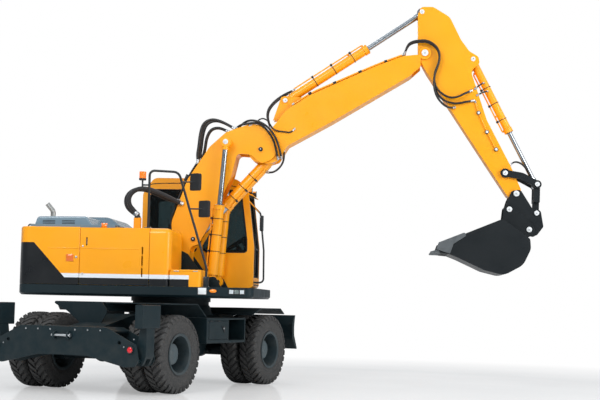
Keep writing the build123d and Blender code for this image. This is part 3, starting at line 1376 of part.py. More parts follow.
def undercarriage_nodes():
    """Every piece that is drawn in the undercarriage's own frame."""
    tyre = traction_tyre()
    nodes = {
        "chassis_frame": chassis_frame(),
        "rear_axle": rear_axle(),
        "front_axle": front_axle(),
        "outrigger_frame": outrigger_frame(),
        "side_boxes": side_boxes(),
        "side_box_door": side_box_door(),
        "dozer_blade": dozer_blade(),
        "blade_lower_links": blade_links(0),
        "blade_upper_links": blade_links(LINK_RISE),
    }
    for side, sign in (("left", 1), ("right", -1)):
        for end, axle_x in (("rear", REAR_AXLE_X), ("front", FRONT_AXLE_X)):
            tyres, rims = wheel_pair(tyre, sign, axle_x)
            nodes[f"tyres_{end}_{side}"] = tyres
            nodes[f"rims_{end}_{side}"] = rims
        nodes[f"knuckle_{side}"] = knuckle(sign)
        nodes[f"outrigger_leg_{side}"] = outrigger_leg(sign)
        barrel, rod = outrigger_ram(sign)
        nodes[f"outrigger_barrel_{side}"] = barrel
        nodes[f"outrigger_rod_{side}"] = rod
    barrels = []
    rods = []
    for sign in (-1, 1):
        barrel, rod = ram(
            BLADE_RAM_BASE, BLADE_RAM_EYE, BLADE_RAM, sign * BLADE_RAM_Y, 28, 380, BLADE_PIN_RADIUS
        )
        barrels.append(barrel)
        rods.append(rod)
    nodes["blade_barrels"] = barrels
    nodes["blade_rods"] = rods
    return nodes


def upper_nodes():
    """Every piece that turns with the deck."""
    nodes = {
        "deck": deck(),
        "counterweight": counterweight(),
        "bodywork": bodywork(),
        "engine": engine(),
        "bonnet": bonnet(),
        "pump_door": side_door(-1, DOOR_FRONT_X, COUNTER_FRONT_X, pump_vents()),
        "cooler_door": side_door(1, CAB_REAR_X - 70, COUNTER_FRONT_X, cooler_vents()),
        "tool_box_lid": tool_box_lid(),
        "cab_shell": cab_shell(),
        "cab_glass": glass_panes(),
        "cab_door": cab_door(),
        "door_glass": door_glass(),
        "seat": seat(),
        "controls": controls(),
        "rails": rails(),
        "lower_boom": lower_boom(),
        "upper_boom": upper_boom(),
        "arm": arm(),
        "rocker": rocker(),
        "link": link(),
        "coupler": coupler(),
        "bucket": bucket(),
    }
    barrels = []
    rods = []
    for sign in (-1, 1):
        barrel, rod = ram(LIFT_BASE, LIFT_EYE, LIFT_RAM, sign * LIFT_Y, 52, 860, LIFT_PIN_RADIUS)
        barrels.append(barrel)
        rods.append(rod)
    nodes["lift_barrels"] = barrels
    nodes["lift_rods"] = rods
    # Rows are (name, base pin, rod eye, sizes, half width of the eyes, rod's inner end, pin radius).
    singles = [
        ("adjust", ADJUST_BASE, ADJUST_EYE, ADJUST_RAM, 90, 760, ADJUST_PIN_RADIUS),
        ("arm", ARM_RAM_BASE, ARM_RAM_EYE, ARM_RAM, 60, 1000, RAM_PIN_RADIUS),
        ("bucket", BUCKET_RAM_BASE, ROCKER_TIP, BUCKET_RAM, 60, 900, RAM_PIN_RADIUS),
    ]
    for name, base, eye, sizes, half, start, pin in singles:
        barrel, rod = ram(base, eye, sizes, 0, half, start, pin)
        nodes[f"{name}_barrel"] = barrel
        nodes[f"{name}_rod"] = rod
    return nodes


def shape_list(shape):
    """The solids of a node, whether it holds one or several."""
    if isinstance(shape, list):
        return [solid for piece in shape for solid in piece.solids()]
    return list(shape.solids())


TURN = Rot(0, 0, UNDER_TURN)
NODES = {name: Compound(children=shape_list(shape)) for name, shape in upper_nodes().items()}
for name, shape in undercarriage_nodes().items():
    NODES[name] = TURN * Compound(children=shape_list(shape))

# The origin is the middle of the whole machine's footprint, on the floor.
BOXES = [shape.bounding_box() for shape in NODES.values()]
SHIFT = (
    -(min(box.min.X for box in BOXES) + max(box.max.X for box in BOXES)) / 2,
    -(min(box.min.Y for box in BOXES) + max(box.max.Y for box in BOXES)) / 2,
    0,
)

os.makedirs("parts", exist_ok=True)
for name, shape in NODES.items():
    export_step(Pos(*SHIFT) * shape, f"parts/{name}.step")
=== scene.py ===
import json
import math

import bmesh
import bpy
from mathutils import Matrix, Vector

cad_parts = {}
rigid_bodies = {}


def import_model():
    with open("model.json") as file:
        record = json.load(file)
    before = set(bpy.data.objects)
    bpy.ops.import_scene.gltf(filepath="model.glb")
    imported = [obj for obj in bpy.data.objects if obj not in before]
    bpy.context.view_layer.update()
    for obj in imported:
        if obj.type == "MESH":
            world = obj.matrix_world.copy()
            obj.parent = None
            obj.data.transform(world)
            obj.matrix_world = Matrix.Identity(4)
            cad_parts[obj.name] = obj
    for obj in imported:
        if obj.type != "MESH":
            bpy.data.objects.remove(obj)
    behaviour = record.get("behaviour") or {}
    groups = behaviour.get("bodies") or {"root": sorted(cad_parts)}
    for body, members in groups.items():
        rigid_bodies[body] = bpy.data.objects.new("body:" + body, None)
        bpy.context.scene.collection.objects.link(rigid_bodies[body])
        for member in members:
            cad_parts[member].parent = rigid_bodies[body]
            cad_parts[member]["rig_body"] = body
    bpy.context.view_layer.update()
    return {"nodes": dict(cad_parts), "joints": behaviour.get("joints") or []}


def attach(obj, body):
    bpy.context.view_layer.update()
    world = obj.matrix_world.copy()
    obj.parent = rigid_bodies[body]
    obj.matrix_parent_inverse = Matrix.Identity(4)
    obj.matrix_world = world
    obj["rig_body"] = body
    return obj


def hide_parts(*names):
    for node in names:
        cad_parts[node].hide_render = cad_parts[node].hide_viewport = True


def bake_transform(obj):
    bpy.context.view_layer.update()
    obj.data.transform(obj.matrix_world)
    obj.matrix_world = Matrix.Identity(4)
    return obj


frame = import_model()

bl_info = {
    "name": "Wheeled excavator",
    "version": (1, 0, 0),
    "blender": (4, 5, 0),
    "location": "View3D > Sidebar > Excavator",
    "description": "Dresses the packed frame of a wheeled excavator with its finishes and fine parts",
    "category": "Add Mesh",
}

# Pieces are drawn in millimetres, with the slewing axis on the floor as origin, +X ahead of the
# turned upper structure and +Z up. UPPER takes such a point to the frame's metres, and UNDER
# takes one that is drawn along the undercarriage.
MM = 0.001
SWING = next(joint for joint in frame["joints"] if joint["name"] == "swing")["pos_m"]
UNDER_TURN = math.radians(68.2)
ON_AXIS = Matrix.Translation((SWING[0], SWING[1], 0))
UPPER = ON_AXIS @ Matrix.Scale(MM, 4)
UNDER = ON_AXIS @ Matrix.Rotation(UNDER_TURN, 4, "Z") @ Matrix.Scale(MM, 4)
FROM_UPPER = UPPER.inverted()

# Sizes that the source of the solids gives, in millimetres.
AXLES = {"rear": -1715, "front": 885}
TYRE_RADIUS = 527.5
TYRE_HALF = 139
TYRE_MIDDLES = (785, 1110)
RIM_RADIUS = 254
FLANGE_RADIUS = 281
HUB_FACE = 1128
DISC_Y = 985
BODY_HALF = 1245
HOOD_TOP = 2262
TOOL_TOP = 1681
FILLER = (-422, -600)
FILLER_TOP = 2443
BEACON_X = -250
RAIL_Y = -1155
CAB_RIGHT = 412
CAB_LEFT = 1235
CAB_MIDDLE = (CAB_RIGHT + CAB_LEFT) / 2
CAB_REAR = -560
CAB_FRONT = 1190
CAB_TOP = 3140


class ExcavatorPaints(bpy.types.PropertyGroup):
    """Colours that a user would change, as sRGB hex."""

    body: bpy.props.StringProperty(name="Body", description="Orange-yellow enamel", default="#FFA608")
    frame: bpy.props.StringProperty(name="Frame", description="Dark blue-grey enamel", default="#12242A")
    hood: bpy.props.StringProperty(name="Hood", description="Blue-grey moulded hood", default="#748B99")
    band: bpy.props.StringProperty(name="Band", description="Dark band along the sides", default="#0A1015")
    stripe: bpy.props.StringProperty(name="Stripe", description="White side stripe", default="#E8EEF4")
    beacon: bpy.props.StringProperty(name="Beacon", description="Amber lens", default="#F57A12")


class ExcavatorSizes(bpy.types.PropertyGroup):
    """Sizes that a user would change, in metres."""

    tread: bpy.props.FloatProperty(
        name="Tread depth", description="Height of the lugs", default=0.026, unit="LENGTH"
    )


# Colours and shader nodes


def linear(code):
    """A "#RRGGBB" sRGB colour as linear red, green, blue and alpha."""
    parts = [int(code[i : i + 2], 16) / 255 for i in (1, 3, 5)]
    return [c / 12.92 if c <= 0.04045 else ((c + 0.055) / 1.055) ** 2.4 for c in parts] + [1.0]


def scaled(code, factor):
    """A lighter or darker version of a hex colour, linear."""
    return [min(1.0, c * factor) for c in linear(code)[:3]] + [1.0]


def per(size):
    """How often a pattern of that many millimetres repeats in a metre."""
    return 1000 / size


def node(tree, kind, inputs=None, output=0, **settings):
    """Adds a shader node, its inputs given as values or links. Returns one of its outputs, if it has any."""
    made = tree.nodes.new("ShaderNode" + kind)
    for name, value in settings.items():
        setattr(made, name, value)
    for name, value in (inputs or {}).items():
        if isinstance(value, bpy.types.NodeSocket):
            tree.links.new(value, made.inputs[name])
        else:
            made.inputs[name].default_value = value
    return made.outputs[output] if made.outputs else None


def mixed(tree, share, first, second):
    """A colour between two others: sockets 6 and 7 of the mix node, and its output 2, are the colours."""
    return node(tree, "Mix", {0: share, 6: first, 7: second}, 2, data_type="RGBA")


def cloudy(tree, share, colour, dark, light):
    """A colour that wanders between a darker and a lighter version of itself."""
    return mixed(tree, share, scaled(colour, dark), scaled(colour, light))


def noise(tree, place, size, detail, roughness=0.5):
    """Soft noise of that many millimetres."""
    inputs = {"Vector": place, "Scale": per(size), "Detail": detail, "Roughness": roughness}
    return node(tree, "TexNoise", inputs)


def ramp(tree, value, low, high, start=0.0, end=1.0):
    """Goes from start to end while a value goes from low to high."""
    return node(tree, "MapRange", {0: value, 1: low, 2: high, 3: start, 4: end})


def maths(tree, operation, *values):
    """Works a number out from values or links."""
    return node(tree, "Math", dict(enumerate(values)), operation=operation)


def blank_material(name):
    """An empty material: (material, tree, place), where place is the point on the object in metres."""
    material = bpy.data.materials.new(name)
    material.use_nodes = True
    tree = material.node_tree
    tree.nodes.clear()
    return material, tree, node(tree, "TexCoord", output="Object")


def surface(tree, inputs):
    """Closes a material with the main shader."""
    node(tree, "OutputMaterial", {0: node(tree, "BsdfPrincipled", inputs)})


def enamel(name, colour, roughness=0.32, coat=0.25, dust=0.25, edge_wear_and_highlight=0.5, shine=0.4, livery=None):
    """Sprayed enamel on steel plate: soft orange peel, cloudy gloss, dust low down, and outer edges lighter,
    as rubbed paint and as a painted highlight.
    """
    material, tree, place = blank_material(name)
    height = node(tree, "SeparateXYZ", {0: place}, 2)
    flat = node(tree, "NewGeometry", output="Normal")
    up = node(tree, "SeparateXYZ", {0: flat}, 2)
    clouds = noise(tree, place, 420, 3)
    base = cloudy(tree, clouds, colour, 0.93, 1.06)
    if livery:
        base = livery(tree, place, base)
    # Dust settles on ledges and on what is near the ground.
    low = ramp(tree, height, 1.5, 0.3, 0.0, 0.55)
    ledge = ramp(tree, up, 0.55, 1.0)
    grime = noise(tree, place, 150, 6, 0.65)
    patches = ramp(tree, grime, 0.35, 0.8, 0.0, dust)
    settled = maths(tree, "MAXIMUM", low, ledge)
    amount = maths(tree, "MULTIPLY", settled, patches)
    dusty = mixed(tree, amount, base, linear("#8B8378"))
    # Outer edges, where the rounded normal leaves the true one, are drawn lighter in broken stretches: partly
    # rubbed paint, partly a painted highlight.
    wide = node(tree, "Bevel", {"Radius": 0.006}, samples=4)
    turn = node(tree, "VectorMath", {0: wide, 1: flat}, "Value", operation="DOT_PRODUCT")
    edges = ramp(tree, turn, 0.985, 0.90, 0.0, edge_wear_and_highlight)
    chip_and_highlight_noise = noise(tree, place, 35, 4)
    broken = ramp(tree, chip_and_highlight_noise, 0.48, 0.62)
    rubbed_and_highlit = maths(tree, "MULTIPLY", edges, broken)
    # The lighter copy of the paint on the edges is partly wear and partly a painted highlight.
    worn = mixed(tree, rubbed_and_highlit, dusty, scaled(colour, 1.7))
    sheen = noise(tree, place, 260, 5)
    gloss = ramp(tree, sheen, 0.3, 0.7, roughness - 0.05, roughness + 0.08)
    rough = maths(tree, "MULTIPLY_ADD", amount, 0.4, gloss)
    # Real orange peel is about 1 mm wide: drawn at 9 mm so that it shows.
    peel = noise(tree, place, 9, 2)
    soft = node(tree, "Bevel", {"Radius": 0.004}, samples=4)
    bump = node(tree, "Bump", {"Strength": 0.035, "Distance": 0.002, "Height": peel, "Normal": soft})
    lacquer = {"Coat Weight": coat, "Coat Roughness": 0.12, "Specular IOR Level": shine}
    surface(tree, {"Base Color": worn, "Roughness": rough, "Normal": bump, **lacquer})
    return material


BAND_TOP = 1.545
STRIPE_TOP = 1.602
STRIPE_END = 0.466
WEDGE_LOW = (-1.318, 1.547)
WEDGE_HIGH = (-1.771, 2.036)
# The livery comes in between these two distances out to the sides, and back to the tail, in metres.
SIDE_LIMITS = (1.19, 1.20)
TAIL_LIMITS = (-1.90, -1.92)


def side_livery(tree, place, base):
    """Dark band with its rising wedge at the tail, and the white stripe over it, on sides and tail."""
    paints = bpy.context.scene.excavator_paints
    edge = 0.0015
    moved = node(tree, "VectorMath", {0: place, 1: (SWING[0], SWING[1], 0)}, operation="SUBTRACT")
    ahead = node(tree, "SeparateXYZ", {0: moved})
    across = maths(tree, "ABSOLUTE", ahead.node.outputs[1])
    height = ahead.node.outputs[2]
    side = ramp(tree, across, *SIDE_LIMITS)
    tail = ramp(tree, ahead, *TAIL_LIMITS)
    outside = maths(tree, "MAXIMUM", side, tail)
    behind = ramp(tree, ahead, STRIPE_END + edge, STRIPE_END)
    where = maths(tree, "MULTIPLY", outside, behind)
    # The wedge rises from the stripe towards the tail's corner.
    slope = (WEDGE_HIGH[1] - WEDGE_LOW[1]) / (WEDGE_HIGH[0] - WEDGE_LOW[0])
    foot = WEDGE_LOW[1] - slope * WEDGE_LOW[0]
    rising = maths(tree, "MULTIPLY_ADD", ahead, slope, foot)
    capped = maths(tree, "MINIMUM", rising, WEDGE_HIGH[1])
    limit = maths(tree, "MAXIMUM", capped, BAND_TOP)
    under_limit = maths(tree, "SUBTRACT", limit, height)
    dark = ramp(tree, under_limit, -edge, edge)
    band = maths(tree, "MULTIPLY", dark, where)
    over = ramp(tree, height, BAND_TOP - edge, BAND_TOP)
    under = ramp(tree, height, STRIPE_TOP + edge, STRIPE_TOP)
    light = maths(tree, "MULTIPLY", over, under)
    stripe = maths(tree, "MULTIPLY", light, where)
    white = linear(paints.stripe)
    striped = mixed(tree, stripe, base, white)
    banded = mixed(tree, band, striped, linear(paints.band))
    # The stripe runs over the wedge, up to the wedge's slope.
    slanted = maths(tree, "SUBTRACT", rising, height)
    front = ramp(tree, slanted, edge, -edge)
    final = maths(tree, "MULTIPLY", stripe, front)
    return mixed(tree, final, banded, white)


def rubber(name, colour, size, dust, gloss=0.55):
    """Cured rubber: dull, a little grey with dust in its hollows of that size in millimetres."""
    material, tree, place = blank_material(name)
    fine = noise(tree, place, size, 5, 0.6)
    wide = noise(tree, place, 180, 4)
    base = cloudy(tree, wide, colour, 0.8, 1.2)
    amount = ramp(tree, fine, 0.4, 0.75, 0.0, dust)
    dusty = mixed(tree, amount, base, linear("#85827E"))
    rough = ramp(tree, fine, 0.3, 0.7, gloss, gloss + 0.25)
    bump = node(tree, "Bump", {"Strength": 0.12, "Distance": 0.003, "Height": fine})
    surface(tree, {"Base Color": dusty, "Roughness": rough, "Normal": bump})
    return material


def braid(name, colour):
    """Woven hose sleeve: crossed threads of about 4 mm, drawn at 9 mm so that they show."""
    material, tree, place = blank_material(name)
    split = node(tree, "SeparateXYZ", {0: place})
    turns = 2 * math.pi / 0.009
    waves = []
    for axis, sign in ((0, 1), (2, -1)):
        across = maths(tree, "MULTIPLY", split.node.outputs[1], sign)
        along = maths(tree, "ADD", split.node.outputs[axis], across)
        phase = maths(tree, "MULTIPLY", along, turns)
        waves.append(maths(tree, "SINE", phase))
    weave = maths(tree, "MULTIPLY", waves[0], waves[1])
    wide = noise(tree, place, 120, 4)
    base = cloudy(tree, wide, colour, 0.7, 1.3)
    bump = node(tree, "Bump", {"Strength": 0.4, "Distance": 0.002, "Height": weave})
    surface(tree, {"Base Color": base, "Roughness": 0.68, "Normal": bump, "Sheen Weight": 0.2})
    return material


def metal(name, colour, roughness, grain=3):
    """Bare machined or plated steel, with fine turning marks and dull patches."""
    material, tree, place = blank_material(name)
    fine = noise(tree, place, grain, 3)
    wide = noise(tree, place, 90, 4)
    base = cloudy(tree, wide, colour, 0.88, 1.08)
    rough = ramp(tree, wide, 0.3, 0.7, roughness * 0.8, roughness * 1.25)
    bump = node(tree, "Bump", {"Strength": 0.03, "Distance": 0.001, "Height": fine})
    surface(tree, {"Base Color": base, "Metallic": 1.0, "Roughness": rough, "Normal": bump})
    return material


def plastic(name, colour, roughness, grain=4, strength=0.08, coat=0.0):
    """Moulded plastic with a fine grain."""
    material, tree, place = blank_material(name)
    fine = noise(tree, place, grain, 3)
    wide = noise(tree, place, 200, 3)
    base = cloudy(tree, wide, colour, 0.9, 1.1)
    rough = ramp(tree, wide, 0.3, 0.7, roughness - 0.04, roughness + 0.06)
    soft = node(tree, "Bevel", {"Radius": 0.003}, samples=4)
    bump = node(tree, "Bump", {"Strength": strength, "Distance": 0.002, "Height": fine, "Normal": soft})
    surface(tree, {"Base Color": base, "Roughness": rough, "Normal": bump, "Coat Weight": coat})
    return material


def glass(name, tint, clear):
    """Tinted safety glass: partly clear, with a film of dust and its own gloss."""
    material, tree, place = blank_material(name)
    clouds = noise(tree, place, 120, 5)
    film = ramp(tree, clouds, 0.4, 0.75, 0.01, 0.06)
    dusty = mixed(tree, film, scaled(tint, 0.08), linear("#9AA3A8"))
    rough = ramp(tree, film, 0.01, 0.06, 0.03, 0.12)
    pane = node(tree, "BsdfPrincipled", {"Base Color": dusty, "Roughness": rough, "IOR": 1.52})
    through = node(tree, "BsdfTransparent", {"Color": linear(tint)})
    share = maths(tree, "SUBTRACT", clear, film)
    node(tree, "OutputMaterial", {0: node(tree, "MixShader", {0: share, 1: pane, 2: through})})
    return material


def lens(name, colour, glow=0.0):
    """Coloured lamp lens with moulded ribs 12 mm apart, and a faint glow: a painted glow on the parts that
    are no lamps.
    """
    material, tree, place = blank_material(name)
    height = node(tree, "SeparateXYZ", {0: place}, 2)
    phase = maths(tree, "MULTIPLY", height, 2 * math.pi / 0.012)
    ribs = maths(tree, "SINE", phase)
    cloud = noise(tree, place, 25, 3)
    base = cloudy(tree, cloud, colour, 0.85, 1.1)
    bump = node(tree, "Bump", {"Strength": 0.15, "Distance": 0.002, "Height": ribs})
    # Emission makes these lenses glow; on the tail reflector, fuel cap, lever knob and console switch, which
    # are no lamps, this glow is painted light.
    light = {"Emission Color": linear(colour), "Emission Strength": glow}
    surface(tree, {"Base Color": base, "Roughness": 0.12, "Normal": bump, "Coat Weight": 0.5, **light})
    return material


def fabric(name, colour):
    """Woven seat cloth: threads about 2 mm apart, drawn at 4 mm, with a soft sheen."""
    material, tree, place = blank_material(name)
    split = node(tree, "SeparateXYZ", {0: place})
    waves = []
    for axis in range(3):
        phase = maths(tree, "MULTIPLY", split.node.outputs[axis], 2 * math.pi / 0.004)
        waves.append(maths(tree, "SINE", phase))
    crossed = maths(tree, "ADD", waves[0], waves[2])
    weave = maths(tree, "MULTIPLY", crossed, waves[1])
    wide = noise(tree, place, 60, 4)
    base = cloudy(tree, wide, colour, 0.75, 1.25)
    bump = node(tree, "Bump", {"Strength": 0.25, "Distance": 0.001, "Height": weave})
    surface(tree, {"Base Color": base, "Roughness": 0.9, "Normal": bump, "Sheen Weight": 0.3})
    return material


FINISHES = {}


def make_finishes():
    """Every finish of the machine, by a plain name."""
    paints = bpy.context.scene.excavator_paints
    FINISHES.update(
        # Orange-yellow two-pack enamel over primed plate: bright, half gloss.
        body=enamel("body_enamel", paints.body),
        # The same enamel with the dark band and white stripe of the sides.
        livery=enamel("body_enamel_banded", paints.body, livery=side_livery),
        # Dark chassis enamel: flatter, and dustier near the ground.
        frame=enamel("chassis_enamel", paints.frame, 0.42, coat=0.03, dust=0.16, edge_wear_and_highlight=0.3, shine=0.25),
        # Bucket enamel, lighter along its outer edges: rubbed where they meet the soil, and a painted
        # highlight along them all.
        tool=enamel("bucket_enamel", "#10171B", 0.45, coat=0.03, dust=0.15, edge_wear_and_highlight=0.8, shine=0.3),
        # Teeth and cutting edge: bare manganese steel, polished by the soil to a dull grey.
        worn=metal("soil_worn_steel", "#6E7376", 0.5, 12),
        # Glass-filled moulding of the hood: satin, with a fine grain.
        hood=plastic("hood_moulding", paints.hood, 0.24, 6, 0.03, coat=0.6),
        rail=enamel("rail_enamel", "#1A2126", 0.4, coat=0.1, dust=0.1, edge_wear_and_highlight=0.3),
        rim=enamel("rim_enamel", "#2B3A40", 0.45, coat=0.05, dust=0.3, edge_wear_and_highlight=0.25),
        hub=enamel("hub_enamel", "#4C5A60", 0.5, coat=0.0, dust=0.5, edge_wear_and_highlight=0.3),
        # Carbon-filled tread rubber, dusty between the lugs.
        tyre=rubber("tyre_rubber", "#2A2B2C", 22, 0.3),
        # Hydraulic hose: smooth black cover, wiped clean.
        hose=rubber("hose_rubber", "#141517", 6, 0.08, 0.3),
        # Abrasion sleeve over the thick hoses.
        sleeve=braid("hose_sleeve", "#1B1C1F"),
        seal=rubber("window_seal", "#101214", 10, 0.05),
        # Ground and plated piston rod: a clear mirror with long soft glints.
        chrome=metal("hard_chrome", "#A9B0B6", 0.2),
        zinc=metal("zinc_plate", "#C9CDD0", 0.38),
        iron=metal("cast_iron", "#5A5D60", 0.6, 8),
        # Exhaust pipe: pale dull steel.
        exhaust=metal("exhaust_steel", "#A9AAA8", 0.4, 8),
        pin=plastic("pin_cap_enamel", "#DCE0E2", 0.35, 5, 0.03),
        black=plastic("black_plastic", "#1A1D20", 0.45),
        trim=plastic("cab_trim", "#1E2124", 0.6, 3, 0.12),
        floor_mat=rubber("cab_mat", "#1D1E20", 12, 0.2),
        window=glass("safety_glass", "#A9B6B8", 0.86),
        # Silvered glass of the mirrors: a sharp reflection.
        mirror=metal("mirror_silver", "#E6EAEC", 0.04, 20),
        # The lenses glow a little: on the fuel cap (beacon), lever knob (red) and console switch (amber),
        # which are no lamps, this glow is painted light.
        beacon=lens("beacon_lens", paints.beacon, 0.25),
        amber=lens("amber_lens", "#F58A1A", 0.15),
        red=lens("red_lens", "#D01224", 0.12),
        clear=lens("clear_lens", "#C9D2D8", 0.0),
        # Reflector of the tail: dull orange behind a clear face, with a painted glow.
        tinted=lens("dull_orange_lens", "#E0702A", 0.1),
        smoke=lens("smoked_lens", "#6F7C7C", 0.0),
        plate=plastic("blank_plate", "#E4E8EA", 0.4, 5, 0.02),
        cloth=fabric("seat_cloth", "#2A2C30"),
    )


# Drawing in millimetres


def turn_steps(count):
    """Evenly spaced angles of one full turn."""
    return [2 * math.pi * step / count for step in range(count)]


class Draft:
    """A piece while it is drawn: a bmesh, and the finish that new faces get."""

    def __init__(self):
        self.bm = bmesh.new()
        self.finishes = []
        self.index = 0

    def finish(self, name):
        """Faces drawn from now on get this finish."""
        if name not in self.finishes:
            self.finishes.append(name)
        self.index = self.finishes.index(name)
        return self

    def keep(self, old):
        """Gives the faces that weren't there before the present finish, and returns them."""
        fresh = [face for face in self.bm.faces if face not in old]
        for face in fresh:
            face.material_index = self.index
        return fresh

    def round_edges(self, faces, width, segments=2, angle=30):
        """Bevels the sharp edges between these faces."""
        if not width:
            return
        inside = set(faces)
        edges = {edge for face in faces for edge in face.edges}
        sharp = [
            edge
            for edge in edges
            if len(edge.link_faces) == 2
            and all(face in inside for face in edge.link_faces)
            and edge.calc_face_angle(0) > math.radians(angle)
        ]
        bmesh.ops.bevel(
            self.bm,
            geom=sharp,
            offset=width,
            offset_type="OFFSET",
            segments=segments,
            profile=0.5,
            affect="EDGES",
            material=-1,
            clamp_overlap=True,
        )

    def box(self, low, high, edge=0.0, segments=2):
        """A box between two corners, with rounded edges."""
        old = set(self.bm.faces)
        middle = [(a + b) / 2 for a, b in zip(low, high)]
        size = [abs(b - a) for a, b in zip(low, high)]
        place = Matrix.Translation(middle) @ Matrix.Diagonal((*size, 1))
        bmesh.ops.create_cube(self.bm, size=1, matrix=place)
        self.round_edges(self.keep(old), edge, segments)
        return self.keep(old)

    def bar(self, start, end, radius, end_radius=None, sides=24, edge=0.0):
        """A round bar or cone between two points."""
        old = set(self.bm.faces)
        start, end = Vector(start), Vector(end)
        line = end - start
        place = Matrix.Translation((start + end) / 2) @ line.to_track_quat("Z", "Y").to_matrix().to_4x4()
        bmesh.ops.create_cone(
            self.bm,
            cap_ends=True,
            segments=sides,
            radius1=radius,
            radius2=radius if end_radius is None else end_radius,
            depth=line.length,
            matrix=place,
        )
        self.round_edges(self.keep(old), edge, 2, 50)
        return self.keep(old)

    def along(self, low, high, y, z, radius, **shape):
        """A round bar along the machine, from x = low to x = high."""
        return self.bar((low, y, z), (high, y, z), radius, **shape)

    def across(self, x, z, low, high, radius, **shape):
        """A round bar across the machine, from y = low to y = high."""
        return self.bar((x, low, z), (x, high, z), radius, **shape)

    def post(self, x, y, low, high, radius, **shape):
        """An upright round bar, from z = low to z = high."""
        return self.bar((x, y, low), (x, y, high), radius, **shape)

    def ball(self, middle, radius, scale=(1, 1, 1), sides=16):
        """A round or squashed ball."""
        old = set(self.bm.faces)
        place = Matrix.Translation(middle) @ Matrix.Diagonal((*scale, 1))
        bmesh.ops.create_uvsphere(
            self.bm,
            u_segments=sides,
            v_segments=sides // 2 + 1,
            radius=radius,
            matrix=place,
        )
        return self.keep(old)

    def side(self, outline, low, high, edge=0.0):
        """A side view's outline of (x, z) drawn out from y = low to y = high."""
        old = set(self.bm.faces)
        face = self.bm.faces.new([self.bm.verts.new((x, low, z)) for x, z in outline])
        moved = bmesh.ops.extrude_face_region(self.bm, geom=[face], use_keep_orig=True)
        verts = [item for item in moved["geom"] if isinstance(item, bmesh.types.BMVert)]
        bmesh.ops.translate(self.bm, vec=Vector((0, high - low, 0)), verts=verts)
        fresh = self.keep(old)
        bmesh.ops.recalc_face_normals(self.bm, faces=fresh)
        self.round_edges(fresh, edge)
        return self.keep(old)

    def turned(self, profile, centre, axis, steps=48):
        """A profile of points spun once round an axis."""
        old = set(self.bm.faces)
        verts = [self.bm.verts.new(p) for p in profile]
        edges = [self.bm.edges.new(pair) for pair in zip(verts, verts[1:])]
        bmesh.ops.spin(
            self.bm,
            geom=verts + edges,
            cent=centre,
            axis=axis,
            angle=2 * math.pi,
            steps=steps,
            use_merge=True,
            use_duplicate=False,
        )
        fresh = self.keep(old)
        bmesh.ops.remove_doubles(self.bm, verts=list({v for f in fresh for v in f.verts}), dist=0.01)
        fresh = self.keep(old)
        bmesh.ops.recalc_face_normals(self.bm, faces=fresh)
        return fresh

    def upright(self, rows, x, y, foot=0, steps=32):
        """A profile of (height over its foot, radius) spun round an upright line."""
        return self.turned([(x + r, y, foot + z) for z, r in rows], (x, y, 0), (0, 0, 1), steps)

    def on_axle(self, rows, steps):
        """A profile of (y, radius) spun round the Y axis."""
        return self.turned([(0, y, r) for y, r in rows], (0, 0, 0), (0, 1, 0), steps)

    def pipe(self, points, radius, straight=False, closed=False):
        """A tube along its points' smooth line, or straight from point to point."""
        old = set(self.bm.faces)
        data = route("tube", points, radius, straight, closed)
        holder = bpy.data.objects.new("tube", data)
        mesh = bpy.data.meshes.new_from_object(holder)
        self.bm.from_mesh(mesh)
        bpy.data.objects.remove(holder)
        bpy.data.meshes.remove(mesh)
        bpy.data.curves.remove(data)
        fresh = self.keep(old)
        bmesh.ops.recalc_face_normals(self.bm, faces=fresh)
        return fresh

    def ring(self, middle, axis, radius, thickness, count=12):
        """A round ring about a middle, square to an axis, through so many points."""
        turn = Vector(axis).to_track_quat("Z", "Y")
        flat = [Vector((radius * math.cos(a), radius * math.sin(a), 0)) for a in turn_steps(count)]
        return self.pipe([Vector(middle) + turn @ spot for spot in flat], thickness, closed=True)

    def cap(self, middle, axis, radius, height, finish="pin"):
        """A pin's end: a domed disc with its bolt, standing out along an axis from a point."""
        middle, axis = Vector(middle), Vector(axis).normalized()
        foot = middle - axis * 3
        self.finish(finish)
        self.bar(foot, middle + axis * height, radius, sides=32, edge=min(4, height * 0.4))
        self.finish("zinc")
        self.bar(middle + axis * (height - 1), middle + axis * (height + 9), radius * 0.28, sides=6, edge=1)

    def around(self, faces, centre, axis, count):
        """Repeats faces evenly round an axis."""
        old = set(self.bm.faces)
        corners = {v for f in faces for v in f.verts}
        edges = {e for f in faces for e in f.edges}
        geom = [*corners, *edges, *faces]
        for step in range(1, count):
            copy = bmesh.ops.duplicate(self.bm, geom=geom)["geom"]
            verts = [item for item in copy if isinstance(item, bmesh.types.BMVert)]
            turn = Matrix.Rotation(2 * math.pi * step / count, 4, Vector(axis))
            bmesh.ops.rotate(self.bm, cent=centre, matrix=turn, verts=verts)
        return [face for face in self.bm.faces if face not in old]

    def move(self, faces, matrix):
        """Moves faces by a matrix."""
        bmesh.ops.transform(self.bm, matrix=matrix, verts=list({v for f in faces for v in f.verts}))
        return faces

    def done(self, name, body, slot, replaces=(), smooth=35, place=UPPER):
        """Makes the piece, smooth apart from its sharp edges, riding on a body."""
        bmesh.ops.transform(self.bm, matrix=place, verts=self.bm.verts)
        if place.determinant() < 0:
            bmesh.ops.reverse_faces(self.bm, faces=self.bm.faces)
        return finished(self.bm, name, body, self.finishes, replaces, smooth)


def route(name, points, radius=0.0, straight=False, closed=False):
    """A curve with these control points, and with a round section if it has a radius."""
    data = bpy.data.curves.new(name, "CURVE")
    data.dimensions = "3D"
    spline = data.splines.new("POLY" if straight else "NURBS")
    spline.points.add(len(points) - 1)
    for point, spot in zip(spline.points, points):
        point.co = (*spot, 1)
    spline.use_cyclic_u = closed
    if not straight:
        spline.order_u = 3
        spline.use_endpoint_u = not closed
    data.resolution_u = 8
    data.bevel_depth = radius
    data.bevel_resolution = 3
    data.use_fill_caps = not closed
    return data


